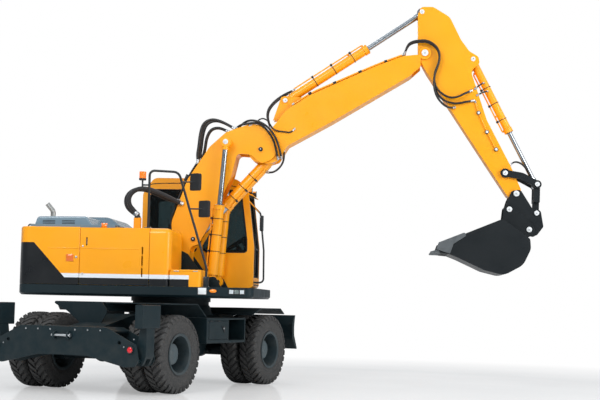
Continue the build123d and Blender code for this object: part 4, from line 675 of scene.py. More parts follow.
def upper_middle(face):
    """The middle of a face, in millimetres from the slewing axis."""
    return FROM_UPPER @ face.calc_center_median()


def finished(bm, name, body, finishes, replaces=(), smooth=35):
    """Turns a bmesh into a piece that rides on a body."""
    for face in bm.faces:
        face.smooth = True
    for edge in bm.edges:
        edge.smooth = len(edge.link_faces) == 2 and edge.calc_face_angle(0) < math.radians(smooth)
    mesh = bpy.data.meshes.new(name)
    bm.to_mesh(mesh)
    bm.free()
    for finish in finishes:
        mesh.materials.append(FINISHES[finish])
    piece = bpy.data.objects.new(name, mesh)
    bpy.context.scene.collection.objects.link(piece)
    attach(piece, body)
    if replaces:
        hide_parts(*replaces)
    return piece


def rounded(rows, steps=5):
    """An outline's points from rows of (first, second, corner radius)."""
    points = []
    count = len(rows)
    for i, (x, z, radius) in enumerate(rows):
        here = Vector((x, z))
        before = Vector(rows[i - 1][:2]) - here
        after = Vector(rows[(i + 1) % count][:2]) - here
        angle = before.angle(after, 0) if radius else 0
        if not radius or angle > math.radians(178):
            points.append((x, z))
            continue
        cut = min(radius / math.tan(angle / 2), before.length * 0.49, after.length * 0.49)
        start = here + before.normalized() * cut
        end = here + after.normalized() * cut
        for step in range(steps + 1):
            t = step / steps
            spot = start.lerp(here, t).lerp(here.lerp(end, t), t)
            points.append((spot.x, spot.y))
    return points


def plate_copy(name, finishes, slot, width, choose=None):
    """A node's own shape with real rounded edges, in its place: its mesh copied, merged and bevelled."""
    weld = 0.02
    source = frame["nodes"][name]
    bm = bmesh.new()
    bm.from_mesh(source.data)
    bmesh.ops.remove_doubles(bm, verts=bm.verts, dist=weld * MM)
    bmesh.ops.dissolve_limit(
        bm,
        angle_limit=math.radians(0.4),
        use_dissolve_boundaries=False,
        verts=bm.verts,
        edges=bm.edges,
        delimit=set(),
    )
    for face in bm.faces:
        face.material_index = choose(face) if choose else 0
    piece = finished(bm, f"{name}_plates", source["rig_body"], finishes, (name,))
    modifier = piece.modifiers.new("plate_edges", "BEVEL")
    modifier.width = width * MM
    modifier.segments = 2
    modifier.limit_method = "ANGLE"
    modifier.angle_limit = math.radians(40)
    modifier.harden_normals = False
    modifier.miter_outer = "MITER_SHARP"
    modifier.use_clamp_overlap = True
    return piece


def tilt_about(middle, degrees):
    """A turn about a point, round the Y axis."""
    middle = Vector(middle)
    turn = Matrix.Rotation(math.radians(degrees), 4, "Y")
    return Matrix.Translation(middle) @ turn @ Matrix.Translation(-middle)


# Stage


CAMERA_FROM_AXIS = (3.357, -18.633, 1.239)
CAMERA_YAW = -0.0770
CAMERA_PITCH = 0.0828
CAMERA_ROLL = 0.0195
FOCAL_PIXELS = 1245.7
IMAGE_WIDTH = 600


def make_camera():
    """Camera at the photograph's place and angle."""
    ahead = Vector(
        (
            math.sin(CAMERA_YAW) * math.cos(CAMERA_PITCH),
            math.cos(CAMERA_YAW) * math.cos(CAMERA_PITCH),
            math.sin(CAMERA_PITCH),
        )
    )
    level = Vector((math.cos(CAMERA_YAW), -math.sin(CAMERA_YAW), 0))
    upright = level.cross(ahead)
    right = math.cos(CAMERA_ROLL) * level + math.sin(CAMERA_ROLL) * upright
    up = math.cos(CAMERA_ROLL) * upright - math.sin(CAMERA_ROLL) * level
    data = bpy.data.cameras.new("photo_camera")
    data.sensor_width = 36
    data.lens = data.sensor_width * FOCAL_PIXELS / IMAGE_WIDTH
    data.clip_end = 500
    camera = bpy.data.objects.new("photo_camera", data)
    turn = Matrix((right, up, -ahead)).transposed().to_4x4()
    place = Vector(CAMERA_FROM_AXIS) + Vector((SWING[0], SWING[1], 0))
    camera.matrix_world = Matrix.Translation(place) @ turn
    bpy.context.scene.collection.objects.link(camera)
    bpy.context.scene.camera = camera


def make_world():
    """White surroundings for the camera, reflections and glass, and a plain soft light for the rest."""
    world = bpy.data.worlds.new("studio")
    world.use_nodes = True
    tree = world.node_tree
    tree.nodes.clear()
    camera = node(tree, "LightPath", output="Is Camera Ray")
    rays = camera.node.outputs
    seen = maths(tree, "MAXIMUM", camera, rays["Is Transmission Ray"])
    height = node(tree, "SeparateXYZ", {0: node(tree, "TexCoord", output="Generated")}, 2)
    # Reflections see a sky that is brighter overhead, as under a large soft box.
    sky = ramp(tree, height, -0.05, 0.8, 0.16, 1.0)
    soft = node(tree, "Background", {"Color": linear("#F4F7FA"), "Strength": 0.74})
    bright = node(tree, "Background", {"Color": linear("#FFFFFF"), "Strength": 1.0})
    mirror = node(tree, "Background", {"Color": linear("#F2F6FA"), "Strength": sky})
    lit = node(tree, "MixShader", {0: rays["Is Glossy Ray"], 1: soft, 2: mirror})
    node(tree, "OutputWorld", {0: node(tree, "MixShader", {0: seen, 1: lit, 2: bright})})
    bpy.context.scene.world = world


FLOOR_HALF = 160
FLOOR_FADE = (6.0, 11.0)
FLOOR_LIFT = 0.34


def make_floor():
    """Pale polished floor that keeps the shadow and a faint reflection, and fades to white further out."""
    bm = bmesh.new()
    bmesh.ops.create_grid(bm, x_segments=1, y_segments=1, size=FLOOR_HALF)
    mesh = bpy.data.meshes.new("studio_floor")
    bm.to_mesh(mesh)
    bm.free()
    material, tree, place = blank_material("studio_floor")
    cloud = noise(tree, place, 1500, 2)
    rough = ramp(tree, cloud, 0.3, 0.7, 0.07, 0.1)
    polished = node(tree, "BsdfPrincipled", {"Base Color": linear("#EDEDED"), "Roughness": rough, "IOR": 1.3})
    camera = node(tree, "LightPath", output="Is Camera Ray")
    lift = maths(tree, "MULTIPLY", camera, FLOOR_LIFT)
    glow = node(tree, "Emission", {"Color": linear("#FFFFFF"), "Strength": lift})
    near = node(tree, "AddShader", {0: polished, 1: glow})
    white = node(tree, "Emission", {"Color": linear("#FFFFFF"), "Strength": 1.0})
    distance = node(tree, "VectorMath", {0: place}, "Value", operation="LENGTH")
    far = ramp(tree, distance, *FLOOR_FADE)
    faded = maths(tree, "MULTIPLY", far, camera)
    node(tree, "OutputMaterial", {0: node(tree, "MixShader", {0: faded, 1: near, 2: white})})
    mesh.materials.append(material)
    floor = bpy.data.objects.new("studio_floor", mesh)
    bpy.context.scene.collection.objects.link(floor)


def make_lamps():
    """Large soft lamps: a key beside the camera, a fill ahead and a rim light behind."""
    # Rows are (name, place, watts, side length) in metres.
    rows = (
        ("key", (-7.0, -16.0, 12.0), 1500, 7.0),
        ("fill", (14.0, -9.0, 7.0), 1300, 7.0),
        ("back", (-4.0, 14.0, 12.0), 700, 8.0),
    )
    target = Vector((0.0, 0.0, 1.8))
    for name, place, watts, side in rows:
        data = bpy.data.lights.new(name, "AREA")
        data.energy = watts
        data.size = side
        lamp = bpy.data.objects.new(name, data)
        lamp.location = place
        lamp.rotation_euler = (target - Vector(place)).to_track_quat("-Z", "Y").to_euler()
        bpy.context.scene.collection.objects.link(lamp)


class EXCAVATOR_OT_stage(bpy.types.Operator):
    """Pale floor, plain soft light and the photograph's camera"""

    bl_idname = "excavator.stage"
    bl_label = "Stage"

    def execute(self, context):
        make_camera()
        make_world()
        make_floor()
        make_lamps()
        return {"FINISHED"}


# Finishes of the solids that stay


PLAIN_FINISHES = {
    "body_paint": "body",
    "engine_iron": "iron",
    "frame_paint": "frame",
    "hood_paint": "hood",
    "rim_paint": "rim",
    "rail_paint": "rail",
    "rod_chrome": "chrome",
    "tyre": "tyre",
    "window_glass": "window",
    "seat_fabric": "cloth",
    "trim_plastic": "trim",
    "hose_rubber": "hose",
}


class EXCAVATOR_OT_finishes(bpy.types.Operator):
    """Makes every finish, and gives each solid that stays the one of its slot"""

    bl_idname = "excavator.finishes"
    bl_label = "Finishes"

    def execute(self, context):
        make_finishes()
        for solid in frame["nodes"].values():
            for slot in solid.material_slots:
                slot.material = FINISHES[PLAIN_FINISHES[slot.material.name.split(".")[0]]]
        return {"FINISHED"}


# Steel plates with rounded edges


CAB_REACH = 420
CAB_FLOOR = 1470
SCREEN_FACE = CAB_FRONT + 22
# The exhaust pipe: its middle as (x, y), half its length and width, and its foot.
EXHAUST = (-1785, -430)
EXHAUST_HALF = (95, 45)
EXHAUST_FOOT = 2440
EYE_REACH = 160
LIP_START = 3965
CUTTER_FACE = 482
# Where the mirrors hang on the handrail, as (x, z), and how far their housings reach.
MIRRORS = ((515, 2930), (650, 2548))
MIRROR_REACH = 130
BEACON_REACH = 60
BEACON_FOOT = 2955
# Low and high corners of the lamp cluster's block, as (x, z).
LAMP_BLOCK = ((1030, 1340), (1272, 1418))


def cab_inside(face):
    """The cab's inner walls, floor and ceiling get the trim, and the grab rail before it is dark."""
    spot = upper_middle(face)
    middle = Vector((300, CAB_MIDDLE, 2250))
    if spot.x > SCREEN_FACE:
        return 2
    inward = (middle - spot).dot(face.normal) > 0
    within = abs(spot.y - middle.y) < CAB_REACH and CAB_REAR - 40 < spot.x < CAB_FRONT + 60
    return int(inward and within and spot.z > CAB_FLOOR)


def hood_faces(face):
    """The exhaust pipe is bare."""
    spot = upper_middle(face)
    beside = abs(spot.x - EXHAUST[0]) < EXHAUST_HALF[0] and abs(spot.y - EXHAUST[1]) < EXHAUST_HALF[1]
    return int(spot.z > EXHAUST_FOOT and beside)


def rod_eyes(face):
    """The rods' eyes are painted."""
    spot = upper_middle(face)
    return int(math.hypot(spot.x - LIFT_EYE[0], spot.z - LIFT_EYE[1]) < EYE_REACH)


def soil_edge(face):
    """The lip, its teeth and the side cutters are bare."""
    spot = upper_middle(face)
    return int(spot.x < LIP_START or abs(spot.y) > CUTTER_FACE)


def rail_faces(face):
    """Mirror housings, beacon lens and its foot are told apart by their places."""
    spot = upper_middle(face)
    if abs(spot.x - BEACON_X) < BEACON_REACH and spot.z > BEACON_FOOT:
        return 2
    for x, z in MIRRORS:
        near = abs(spot.x - x) < MIRROR_REACH and abs(spot.y - RAIL_Y) < MIRROR_REACH
        if near and abs(spot.z - z) < MIRROR_REACH - 5:
            return int(math.hypot(spot.x - x, spot.y - RAIL_Y) > 22 or abs(spot.z - z) > 100)
    return 0


def deck_faces(face):
    """The lamp cluster's block is black."""
    spot = upper_middle(face)
    (back, low), (front, high) = LAMP_BLOCK
    return int(abs(spot.y) > BODY_HALF - 2 and back < spot.x < front and low < spot.z < high)


# Rows are (node, finishes, slot, edge width in millimetres, and what chooses a face's finish).
PLATES = (
    ("deck", ("frame", "black"), "frame_paint", 5, deck_faces),
    ("counterweight", ("livery",), "body_paint", 10),
    ("bodywork", ("livery",), "body_paint", 5),
    ("pump_door", ("livery",), "body_paint", 4),
    ("cooler_door", ("livery",), "body_paint", 4),
    ("tool_box_lid", ("body",), "body_paint", 5),
    ("cab_door", ("body",), "body_paint", 4),
    ("lower_boom", ("body",), "body_paint", 5),
    ("upper_boom", ("body",), "body_paint", 5),
    ("arm", ("body",), "body_paint", 5),
    ("lift_rods", ("chrome", "body"), "rod_chrome", 1, rod_eyes),
    ("rocker", ("tool",), "frame_paint", 4),
    ("link", ("tool",), "frame_paint", 4),
    ("coupler", ("tool",), "frame_paint", 4),
    ("bucket", ("tool", "worn"), "frame_paint", 4, soil_edge),
    ("chassis_frame", ("frame",), "frame_paint", 4),
    ("rear_axle", ("frame",), "frame_paint", 4),
    ("front_axle", ("frame",), "frame_paint", 4),
    ("outrigger_frame", ("frame",), "frame_paint", 4),
    ("outrigger_leg_left", ("frame",), "frame_paint", 4),
    ("outrigger_leg_right", ("frame",), "frame_paint", 4),
    ("side_boxes", ("frame",), "frame_paint", 3),
    ("side_box_door", ("frame",), "frame_paint", 3),
    ("dozer_blade", ("frame",), "frame_paint", 3),
    ("bonnet", ("hood", "exhaust"), "hood_paint", 4, hood_faces),
    ("rails", ("rail", "black", "beacon"), "rail_paint", 2, rail_faces),
    ("cab_shell", ("body", "trim", "rail"), "body_paint", 4, cab_inside),
)


class EXCAVATOR_OT_plates(bpy.types.Operator):
    """Welded and cast pieces, in their solids' places, with real rounded edges"""

    bl_idname = "excavator.plates"
    bl_label = "Plates"

    def execute(self, context):
        for name, finishes, slot, width, *choose in PLATES:
            plate_copy(name, finishes, slot, width, *choose)
        return {"FINISHED"}


# Wheels


LUGS = 32
LUG_LEAN = math.radians(42)
LUG_WIDTH = 62
RIM_HALF = 128
RIM_WALL = 10


def lug_line():
    """Rows of (offset from the tyre's middle, radius, depth) along a lug's top, out over the shoulder."""
    depth = bpy.context.scene.excavator_sizes.tread / MM
    top = TYRE_RADIUS - 0.5
    return (
        (5, top, depth),
        (60, top, depth),
        (100, top - 3, depth),
        (124, top - 14, depth),
        (136, top - 38, depth * 0.75),
        (140.5, top - 75, depth * 0.3),
    )


def draw_lug(draft, sign, turn):
    """One slanted tread lug that wraps over the shoulder."""
    rows = lug_line()
    old = set(draft.bm.faces)
    cuts = len(rows) - 1
    bmesh.ops.create_grid(draft.bm, x_segments=1, y_segments=cuts, size=0.5)
    top = draft.keep(old)
    box = bmesh.ops.extrude_face_region(draft.bm, geom=top, use_keep_orig=True)
    for item in box["geom"]:
        if isinstance(item, bmesh.types.BMVert):
            item.co.z = -1
    faces = draft.keep(old)
    for vert in {v for f in faces for v in f.verts}:
        row = round((vert.co.y + 0.5) * cuts)
        across, radius, depth = rows[row]
        ahead = rows[min(row + 1, cuts)]
        behind = rows[max(row - 1, 0)]
        along = Vector((ahead[0] - behind[0], ahead[1] - behind[1])).normalized()
        out = Vector((-along.y, along.x))
        sunk = -vert.co.z
        spot = Vector((across, radius)) - out * sunk * (depth + 3)
        half = LUG_WIDTH * (0.5 + 0.12 * sunk)
        angle = turn + (across * math.tan(LUG_LEAN) + vert.co.x * 2 * half) / TYRE_RADIUS
        vert.co = (spot.y * math.sin(angle), sign * spot.x, spot.y * math.cos(angle))
    bmesh.ops.recalc_face_normals(draft.bm, faces=faces)
    return faces


def draw_tyre(draft, middle):
    """A traction tyre with two rows of slanted lugs, round the Y axis at y = middle."""
    depth = bpy.context.scene.excavator_sizes.tread / MM
    tread = TYRE_RADIUS - depth
    half = [
        (0, tread),
        (60, tread - 1),
        (98, tread - 4),
        (120, tread - 16),
        (131, tread - 38),
        (136.5, tread - 75),
        (TYRE_HALF, tread - 110),
        (136, tread - 145),
        (130, tread - 172),
        (132, tread - 178),
        (128, tread - 184),
        (120, FLANGE_RADIUS + 16),
        (117, FLANGE_RADIUS + 4),
        (116, RIM_RADIUS + 2),
    ]
    profile = half[::-1] + [(-y, r) for y, r in half[1:]]
    faces = draft.finish("tyre").on_axle(profile, 64)
    pitch = 2 * math.pi / LUGS
    for sign in (-1, 1):
        first = draw_lug(draft, sign, 0 if sign > 0 else pitch / 2)
        faces += first + draft.around(first, (0, 0, 0), (0, 1, 0), LUGS)
    draft.move(faces, Matrix.Translation((0, middle, 0)))
    return faces


def flipped(rows):
    """The other half of a profile of (y, radius)."""
    return [(-y, r) for y, r in reversed(rows)]


def draw_rim(draft):
    """Twin rims on their common disc with the planetary hub, for the left side, round the Y axis."""
    draft.finish("rim")
    bed, flange, edge = RIM_RADIUS, FLANGE_RADIUS, RIM_HALF
    back = bed - RIM_WALL
    outer = [
        (-edge - 2, flange - 3),
        (-edge + 6, flange),
        (-edge + 13, flange - 6),
        (-edge + 15, bed + 4),
        (-edge + 40, bed),
        (-20, bed - 8),
    ]
    inner = [(edge - 2, flange - 12), (edge - 7, back), (edge - 45, back - 6)]
    ring = outer + flipped(outer) + inner + [(0, back - 10)] + flipped(inner) + outer[:1]
    for middle in TYRE_MIDDLES:
        draft.on_axle([(middle + y, r) for y, r in ring], 72)
    # The dished disc between the two rims, and the hub that stands out of it.
    disc = [(-34, bed - 2), (-22, bed - 14), (-12, 214), (6, 205), (8, 165), (-10, 165), (-14, 205)]
    disc += [(-34, 224), (-46, bed - 12), (-50, bed - 2), (-34, bed - 2)]
    draft.on_axle([(DISC_Y + y, r) for y, r in disc], 72)
    drum = [(767, 0), (767, 140), (800, 150), (DISC_Y - 30, 162), (DISC_Y + 12, 166), (DISC_Y + 22, 160)]
    drum += [(DISC_Y + 26, 146), (HUB_FACE - 34, 143), (HUB_FACE - 26, 139)]
    draft.on_axle(drum, 56)
    draft.finish("hub")
    cap = [(-30, 141), (-12, 141), (-6, 136), (-5, 120), (-9, 112), (-9, 58), (-2, 50), (0, 44), (0, 0)]
    draft.on_axle([(HUB_FACE + y, r) for y, r in cap], 56)
    bolt = draft.across(0, 128, HUB_FACE - 10, HUB_FACE + 1, 8, sides=6)
    draft.around(bolt, (0, 0, 0), (0, 1, 0), 12)
    draft.finish("zinc")
    nut = draft.across(0, 187, DISC_Y + 5, DISC_Y + 30, 15, end_radius=13, sides=6)
    draft.around(nut, (0, 0, 0), (0, 1, 0), 10)
    draft.finish("black")
    draft.bar((60, DISC_Y + 80, 232), (60, HUB_FACE - 20, 238), 5, sides=10)


class EXCAVATOR_OT_wheels(bpy.types.Operator):
    """Twin traction tyres on their rims and hubs, at all four ends of the axles"""

    bl_idname = "excavator.wheels"
    bl_label = "Wheels"

    def execute(self, context):
        for end, axle in AXLES.items():
            for side, sign in (("left", 1), ("right", -1)):
                where = f"{end}_{side}"
                centre = UNDER @ Matrix.Translation((axle, 0, TYRE_RADIUS))
                tyres = Draft()
                for middle in TYRE_MIDDLES:
                    draw_tyre(tyres, sign * middle)
                name, body = f"traction_tyres_{where}", f"wheel_{where}"
                tyres.done(name, body, "tyre", (f"tyres_{where}",), 40, centre)
                rim = Draft()
                draw_rim(rim)
                place = centre @ Matrix.Diagonal((1, sign, 1, 1))
                rim.done(f"dished_rims_{where}", body, "rim_paint", (f"rims_{where}",), place=place)
        return {"FINISHED"}


# Upper structure


SIDE = -BODY_HALF
# Rows are (start, length) of the louvres along the hood.
LOUVRE_GROUPS = ((-1710, 183), (-1428, 190))
# Rows are (body, start, end, side) of the pressed ribs: 1 is the right side and -1 the left.
RIBS = (
    ("upper_structure", -1570, -1112, 1),
    ("pump_door", -1092, -235, 1),
    ("upper_structure", -1570, -1112, -1),
    ("cooler_door", -1092, -640, -1),
)
RIB_Z = (1953, 1968)
# Low and high corners as (x, z) of flat things on the right side.
REFLECTOR = ((-1302, 1768), (-1186, 1878))
BLANK_PLATE = ((596, 1330), (728, 1438))
TAIL_LOCK = (-1152, 1833)
LIFT_X = -2010
SIDE_LAMP = (816, 1388)
# Rows are (middle, width, finish) of the lamps in the deck's edge.
DECK_LAMPS = ((1075, 60, "clear"), (1150, 62, "smoke"), (1226, 60, "clear"))
DECK_LAMP_Z = (1352, 1406)
FUEL_CAP = (-789, -1120)
DOOR_LOCK_X = -1060


class EXCAVATOR_OT_body_details(bpy.types.Operator):
    """Pressed ribs, locks, handles, caps, lamps and blank plates of the bodywork"""

    bl_idname = "excavator.body_details"
    bl_label = "Body details"

    def execute(self, context):
        low, high = RIB_Z
        for body, start, end, side in RIBS:
            rib = Draft()
            rib.finish("body")
            rib.box((start, side * (SIDE - 4), low), (end, side * (SIDE + 3), high), 3)
            name = f"pressed_rib_{body}_{'right' if side > 0 else 'left'}"
            rib.done(name, body, "body_paint")
        self.side_fittings()
        self.door_fittings()
        self.lamps()
        self.hood_fittings()
        return {"FINISHED"}

    def side_fittings(self):
        """Tinted reflector, lock and lifting eyes of the counterweight, and hinges of the tray lid."""
        draft = Draft()
        (x, z), (far_x, far_z) = REFLECTOR
        draft.finish("body").box((x, SIDE - 5, z), (far_x, SIDE + 3, far_z), 6)
        # The reflector's tinted lens carries a painted glow.
        draft.finish("tinted").box((x + 6, SIDE - 9, z + 6), (far_x - 6, SIDE - 3, far_z - 6), 3)
        x, z = TAIL_LOCK
        draft.finish("zinc").across(x, z, SIDE + 2, SIDE - 8, 17, sides=24, edge=2)
        draft.finish("black").across(x, z, SIDE - 7, SIDE - 9, 7, sides=12)
        # Hinges of the tray lid.
        z = TOOL_TOP - 22
        for x in (290, 560):
            draft.finish("zinc").along(x - 35, x + 35, SIDE + 3, z, 7, sides=12)
        draft.done("side_fittings", "upper_structure", "trim_plastic")
        # Lifting eyes of the counterweight.
        eyes = Draft()
        eyes.finish("iron")
        for y in (-640, 640):
            eyes.ring((LIFT_X, y, HOOD_TOP + 34), (0, 1, 0), 30, 11)
            eyes.post(LIFT_X, y, HOOD_TOP - 2, HOOD_TOP + 10, 26, sides=24, edge=3)
        eyes.done("lifting_eyes", "upper_structure", "engine_iron")

    def door_fittings(self):
        """Pull pocket, locks and seal of the right service door, and locks and handle of the left one."""
        pocket = Draft()
        pocket.finish("black")
        pocket.box((-1024, SIDE + 18, 1990), (-992, SIDE + 30, 2125), 3)
        pocket.finish("zinc").post(-1008, SIDE + 12, 2020, 2095, 5, sides=12)
        for z in (1600, 1990):
            pocket.finish("zinc").across(DOOR_LOCK_X, z, SIDE + 2, SIDE - 6, 13, sides=24, edge=2)
        pocket.finish("seal").pipe([(-120, SIDE + 8, 1460), (-120, SIDE + 8, 2245)], 6, straight=True)
        pocket.done("right_door_fittings", "pump_door", "trim_plastic")
        left = Draft()
        for z in (1600, 2080):
            left.finish("zinc").across(DOOR_LOCK_X, z, -SIDE - 2, -SIDE + 6, 13, sides=24, edge=2)
        left.finish("black").box((-668, -SIDE - 2, 1840), (-642, -SIDE + 7, 1960), 4)
        left.done("left_door_fittings", "cooler_door", "trim_plastic")

    def lamps(self):
        """Side lamps, lamp clusters and the blank plate of the deck's edge."""
        draft = Draft()
        lamp_x, lamp_z = SIDE_LAMP
        low, high = DECK_LAMP_Z
        for side in (1, -1):
            y = side * SIDE
            out = -side
            draft.finish("amber").ball((lamp_x, y + out * 2, lamp_z), 34, (1.5, 0.42, 0.8), 24)
            oval = [(54 * math.cos(a), 30 * math.sin(a)) for a in turn_steps(24)]
            rim = [(lamp_x + x, y + out * 3, lamp_z + z) for x, z in oval]
            draft.finish("black").pipe(rim, 4, closed=True)
            for x, width, finish in DECK_LAMPS:
                corner = (x - width / 2, y + out * 4, low)
                draft.finish(finish).box(corner, (x + width / 2, y + out * 15, high), 5, 3)
        (x, z), (far_x, far_z) = BLANK_PLATE
        draft.finish("black").box((x, SIDE - 3, z), (far_x, SIDE + 2, far_z), 3)
        draft.finish("plate").box((x + 8, SIDE - 6, z + 8), (far_x - 8, SIDE, far_z - 8), 2)
        for x in (614, 710):
            draft.finish("zinc").across(x, 1384, SIDE - 5, SIDE - 8, 5, sides=12)
        draft.done("deck_lamps", "upper_structure", "trim_plastic")

    def hood_fittings(self):
        """Fuel cap and hose flange beside the hood, and black sheets of painted shade behind the louvres."""
        draft = Draft()
        # The fuel cap takes the beacon lens finish, and with it a painted glow.
        draft.finish("beacon")
        x, y = FUEL_CAP
        rows = [(0, 0), (0, 46), (22, 52), (26, 44), (52, 40), (60, 32), (62, 0)]
        draft.upright(rows, x, y, HOOD_TOP - 3)
        draft.box((x - 44, y - 7, HOOD_TOP + 34), (x + 44, y + 7, HOOD_TOP + 66), 4)
        draft.done("fuel_cap", "upper_structure", "trim_plastic")
        # Black sheets close the louvre slots from behind: painted shade, where the inside of the hood lies in
        # shade.
        backs = Draft()
        backs.finish("black")
        for start, length in LOUVRE_GROUPS:
            backs.box((start - 6, -1052, 2310), (start + length + 6, -1046, 2396))
        backs.done("louvre_painted_shade", "bonnet", "trim_plastic")
        cap = Draft()
        rows = [(0, 0), (0, 47), (18, 47), (22, 42), (40, 36), (42, 0)]
        cap.finish("black").upright(rows, *FILLER, FILLER_TOP - 2)
        cap.done("hose_flange", "upper_structure", "trim_plastic")


# Cab


# Rows are (x, z, corner radius) of each pane's opening.
RIGHT_REAR_PANE = ((-450, 2000, 60), (-450, 2860, 90), (-360, 2960, 60), (300, 2960, 60), (300, 2000, 60))
RIGHT_FRONT_PANE = (
    (400, 2000, 60),
    (400, 2960, 60),
    (880, 2960, 80),
    (990, 2860, 60),
    (1080, 2200, 60),
    (1085, 2000, 60),
)
QUARTER_PANE = ((-470, 2000, 50), (-470, 2850, 60), (50, 2850, 60), (50, 2000, 50))
DOOR_UPPER_PANE = ((240, 2060, 50), (240, 2890, 60), (860, 2890, 60), (960, 2770, 60), (1050, 2060, 50))
DOOR_LOWER_PANE = ((700, 1600, 40), (700, 1980, 40), (1045, 1980, 40), (1045, 1600, 40))
SCREEN_LINE = ((1062, 2895), (1168, 2100), (1168, 1625))
# How far in from the cab's side the seals of the panes and of the windscreen lie.
PANE_INSET = 8
SCREEN_INSET = 76
ROOF_LAMP = (1131, 2965)


def draw_seal(draft, rows, y):
    """The rubber profile round a pane."""
    draft.finish("seal")
    points = [(x, y, z) for x, z in rounded(rows, 4)]
    draft.pipe(points, 11, straight=True, closed=True)


class EXCAVATOR_OT_cab_glazing(bpy.types.Operator):
    """Seals, wiper, lamp lenses, handles and mirror glass of the cab"""

    bl_idname = "excavator.cab_glazing"
    bl_label = "Cab glazing"

    def execute(self, context):
        shell = Draft()
        draw_seal(shell, RIGHT_REAR_PANE, CAB_RIGHT + PANE_INSET)
        draw_seal(shell, RIGHT_FRONT_PANE, CAB_RIGHT + PANE_INSET)
        draw_seal(shell, QUARTER_PANE, CAB_LEFT - PANE_INSET)
        # Sliding half of the right front window: its upright and its catch.
        shell.finish("black").box((728, CAB_RIGHT + 6, 2012), (752, CAB_RIGHT + 26, 2950), 3)
        shell.box((700, CAB_RIGHT + 2, 2440), (730, CAB_RIGHT + 14, 2520), 3)
        # Seals down both sides of the windscreen, and its upper, middle and lower rails.
        right, left = CAB_RIGHT + SCREEN_INSET, CAB_LEFT - SCREEN_INSET
        for y in (right, left):
            shell.finish("seal").pipe([(x, y, z) for x, z in SCREEN_LINE], 12, straight=True)
        for x, z in (SCREEN_LINE[0], SCREEN_LINE[-1], (1172, 2075)):
            shell.across(x, z, right, left, 11, sides=16)
        # Seal of the rear window.
        rear = CAB_REAR - 1
        corners = [(y, z, 50) for y, z in ((522, 2200), (522, 2850), (1125, 2850), (1125, 2200))]
        shell.pipe([(rear, y, z) for y, z in rounded(corners, 4)], 10, straight=True, closed=True)
        self.wiper(shell)
        self.roof(shell)
        shell.done("cab_fittings", "upper_structure", "trim_plastic")
        door = Draft()
        for rows in (DOOR_UPPER_PANE, DOOR_LOWER_PANE):
            draw_seal(door, rows, CAB_LEFT - PANE_INSET)
        door.finish("black").box((905, CAB_LEFT - 2, 2000), (1040, CAB_LEFT + 8, 2040), 6)
        grab = [(230, CAB_LEFT + out, z) for out, z in ((-2, 2080), (42, 2080), (42, 2500), (-2, 2500))]
        door.finish("rail").pipe(grab, 10)
        door.finish("black").box((700, CAB_LEFT - 60, 1985), (1040, CAB_LEFT - 48, 2050), 5)
        door.done("door_fittings", "cab_door", "trim_plastic")
        return {"FINISHED"}

    def wiper(self, draft):
        """Motor cover, arm and blade of the windscreen wiper."""
        draft.finish("black")
        draft.box((1170, 560, 1690), (1186, 650, 1740), 6)
        draft.pipe([(1190, 600, 1715), (1192, 640, 1900), (1185, 700, 2120)], 8)
        draft.pipe([(1180, 620, 1960), (1184, 690, 2110), (1166, 760, 2320)], 5)
        draft.along(1184, 1196, 600, 1715, 16, sides=20, edge=2)

    def roof(self, draft):
        """Work lamps, gutters and ribs of the roof, the corner mirror's glass, and painted shade along the
        front panel's pressed edges.
        """
        x, z = ROOF_LAMP
        for y in (CAB_RIGHT + 130, CAB_LEFT - 130):
            draft.finish("black").ring((x, y, z), (1, 0, 0), 43, 5, 24)
            draft.finish("clear").ball((x - 5, y, z), 40, (0.35, 1, 1), 24)
        draft.finish("seal")
        gutter = ((-505, 2960), (-470, 3020), (-380, 3062), (860, 3062), (1000, 2975))
        for y in (CAB_RIGHT - 1, CAB_LEFT + 1):
            draft.pipe([(x, y, z) for x, z in gutter], 6)
        draft.finish("mirror")
        x, y, z = CAB_FRONT + 106, CAB_RIGHT + 70, 2460
        draft.box((x - 26, y - 58, z - 108), (x - 22, y + 58, z + 108), 1.5)
        # Ribs pressed into the roof.
        draft.finish("body")
        for y in (640, 823, 1006):
            draft.box((-260, y - 26, CAB_TOP - 4), (760, y + 26, CAB_TOP + 5), 4)
        # Black strips along the pressed edges of the lower front panel: painted shade of their creases.
        draft.finish("black")
        for z in (1500, 1545):
            draft.box((CAB_FRONT - 4, CAB_RIGHT + 120, z), (CAB_FRONT + 4, CAB_LEFT - 120, z + 18), 3)


def draw_cushion(draft, low, high, crown, along, seams):
    """A crowned cushion between two corners, its sides pulled in and sewn channels across it.

    along is the axis that it faces, and seams are the channels' places from 0 to 1 on the other long axis.
    """
    old = set(draft.bm.faces)
    bmesh.ops.create_cube(draft.bm, size=2)
    fresh = draft.keep(old)
    edges = list({e for f in fresh for e in f.edges})
    bmesh.ops.subdivide_edges(draft.bm, edges=edges, cuts=23, use_grid_fill=True)
    fresh = draft.keep(old)
    low, high = Vector(low), Vector(high)
    middle, half = (low + high) / 2, (high - low) / 2
    across = [axis for axis in range(3) if axis != along]
    for vert in {v for f in fresh for v in f.verts}:
        spot = vert.co.copy()
        # Corners of a softened box: each axis is pulled in where the two others are near their ends.
        reach = [abs(c) for c in spot]
        for axis in range(3):
            others = [reach[i] for i in range(3) if i != axis]
            vert.co[axis] = spot[axis] * (1 - 0.10 * others[0] ** 6) * (1 - 0.10 * others[1] ** 6)
        swell = (1 - spot[across[0]] ** 2) * (1 - spot[across[1]] ** 2)
        vert.co[along] *= 1 + crown * swell - crown
        # The long sides pull in between the corners.
        for axis in across:
            other = across[0] if axis == across[1] else across[1]
            vert.co[axis] *= 1 - 0.035 * (1 - spot[other] ** 2) * reach[axis] ** 4
        if spot[along] > 0:
            for seam in seams:
                place = seam * 2 - 1
                dip = math.exp(-(((spot[across[0]] - place) / 0.045) ** 2))
                vert.co[along] -= 0.10 * dip * (1 - spot[across[1]] ** 4)
        vert.co = Vector([middle[i] + half[i] * vert.co[i] for i in range(3)])
    return fresh


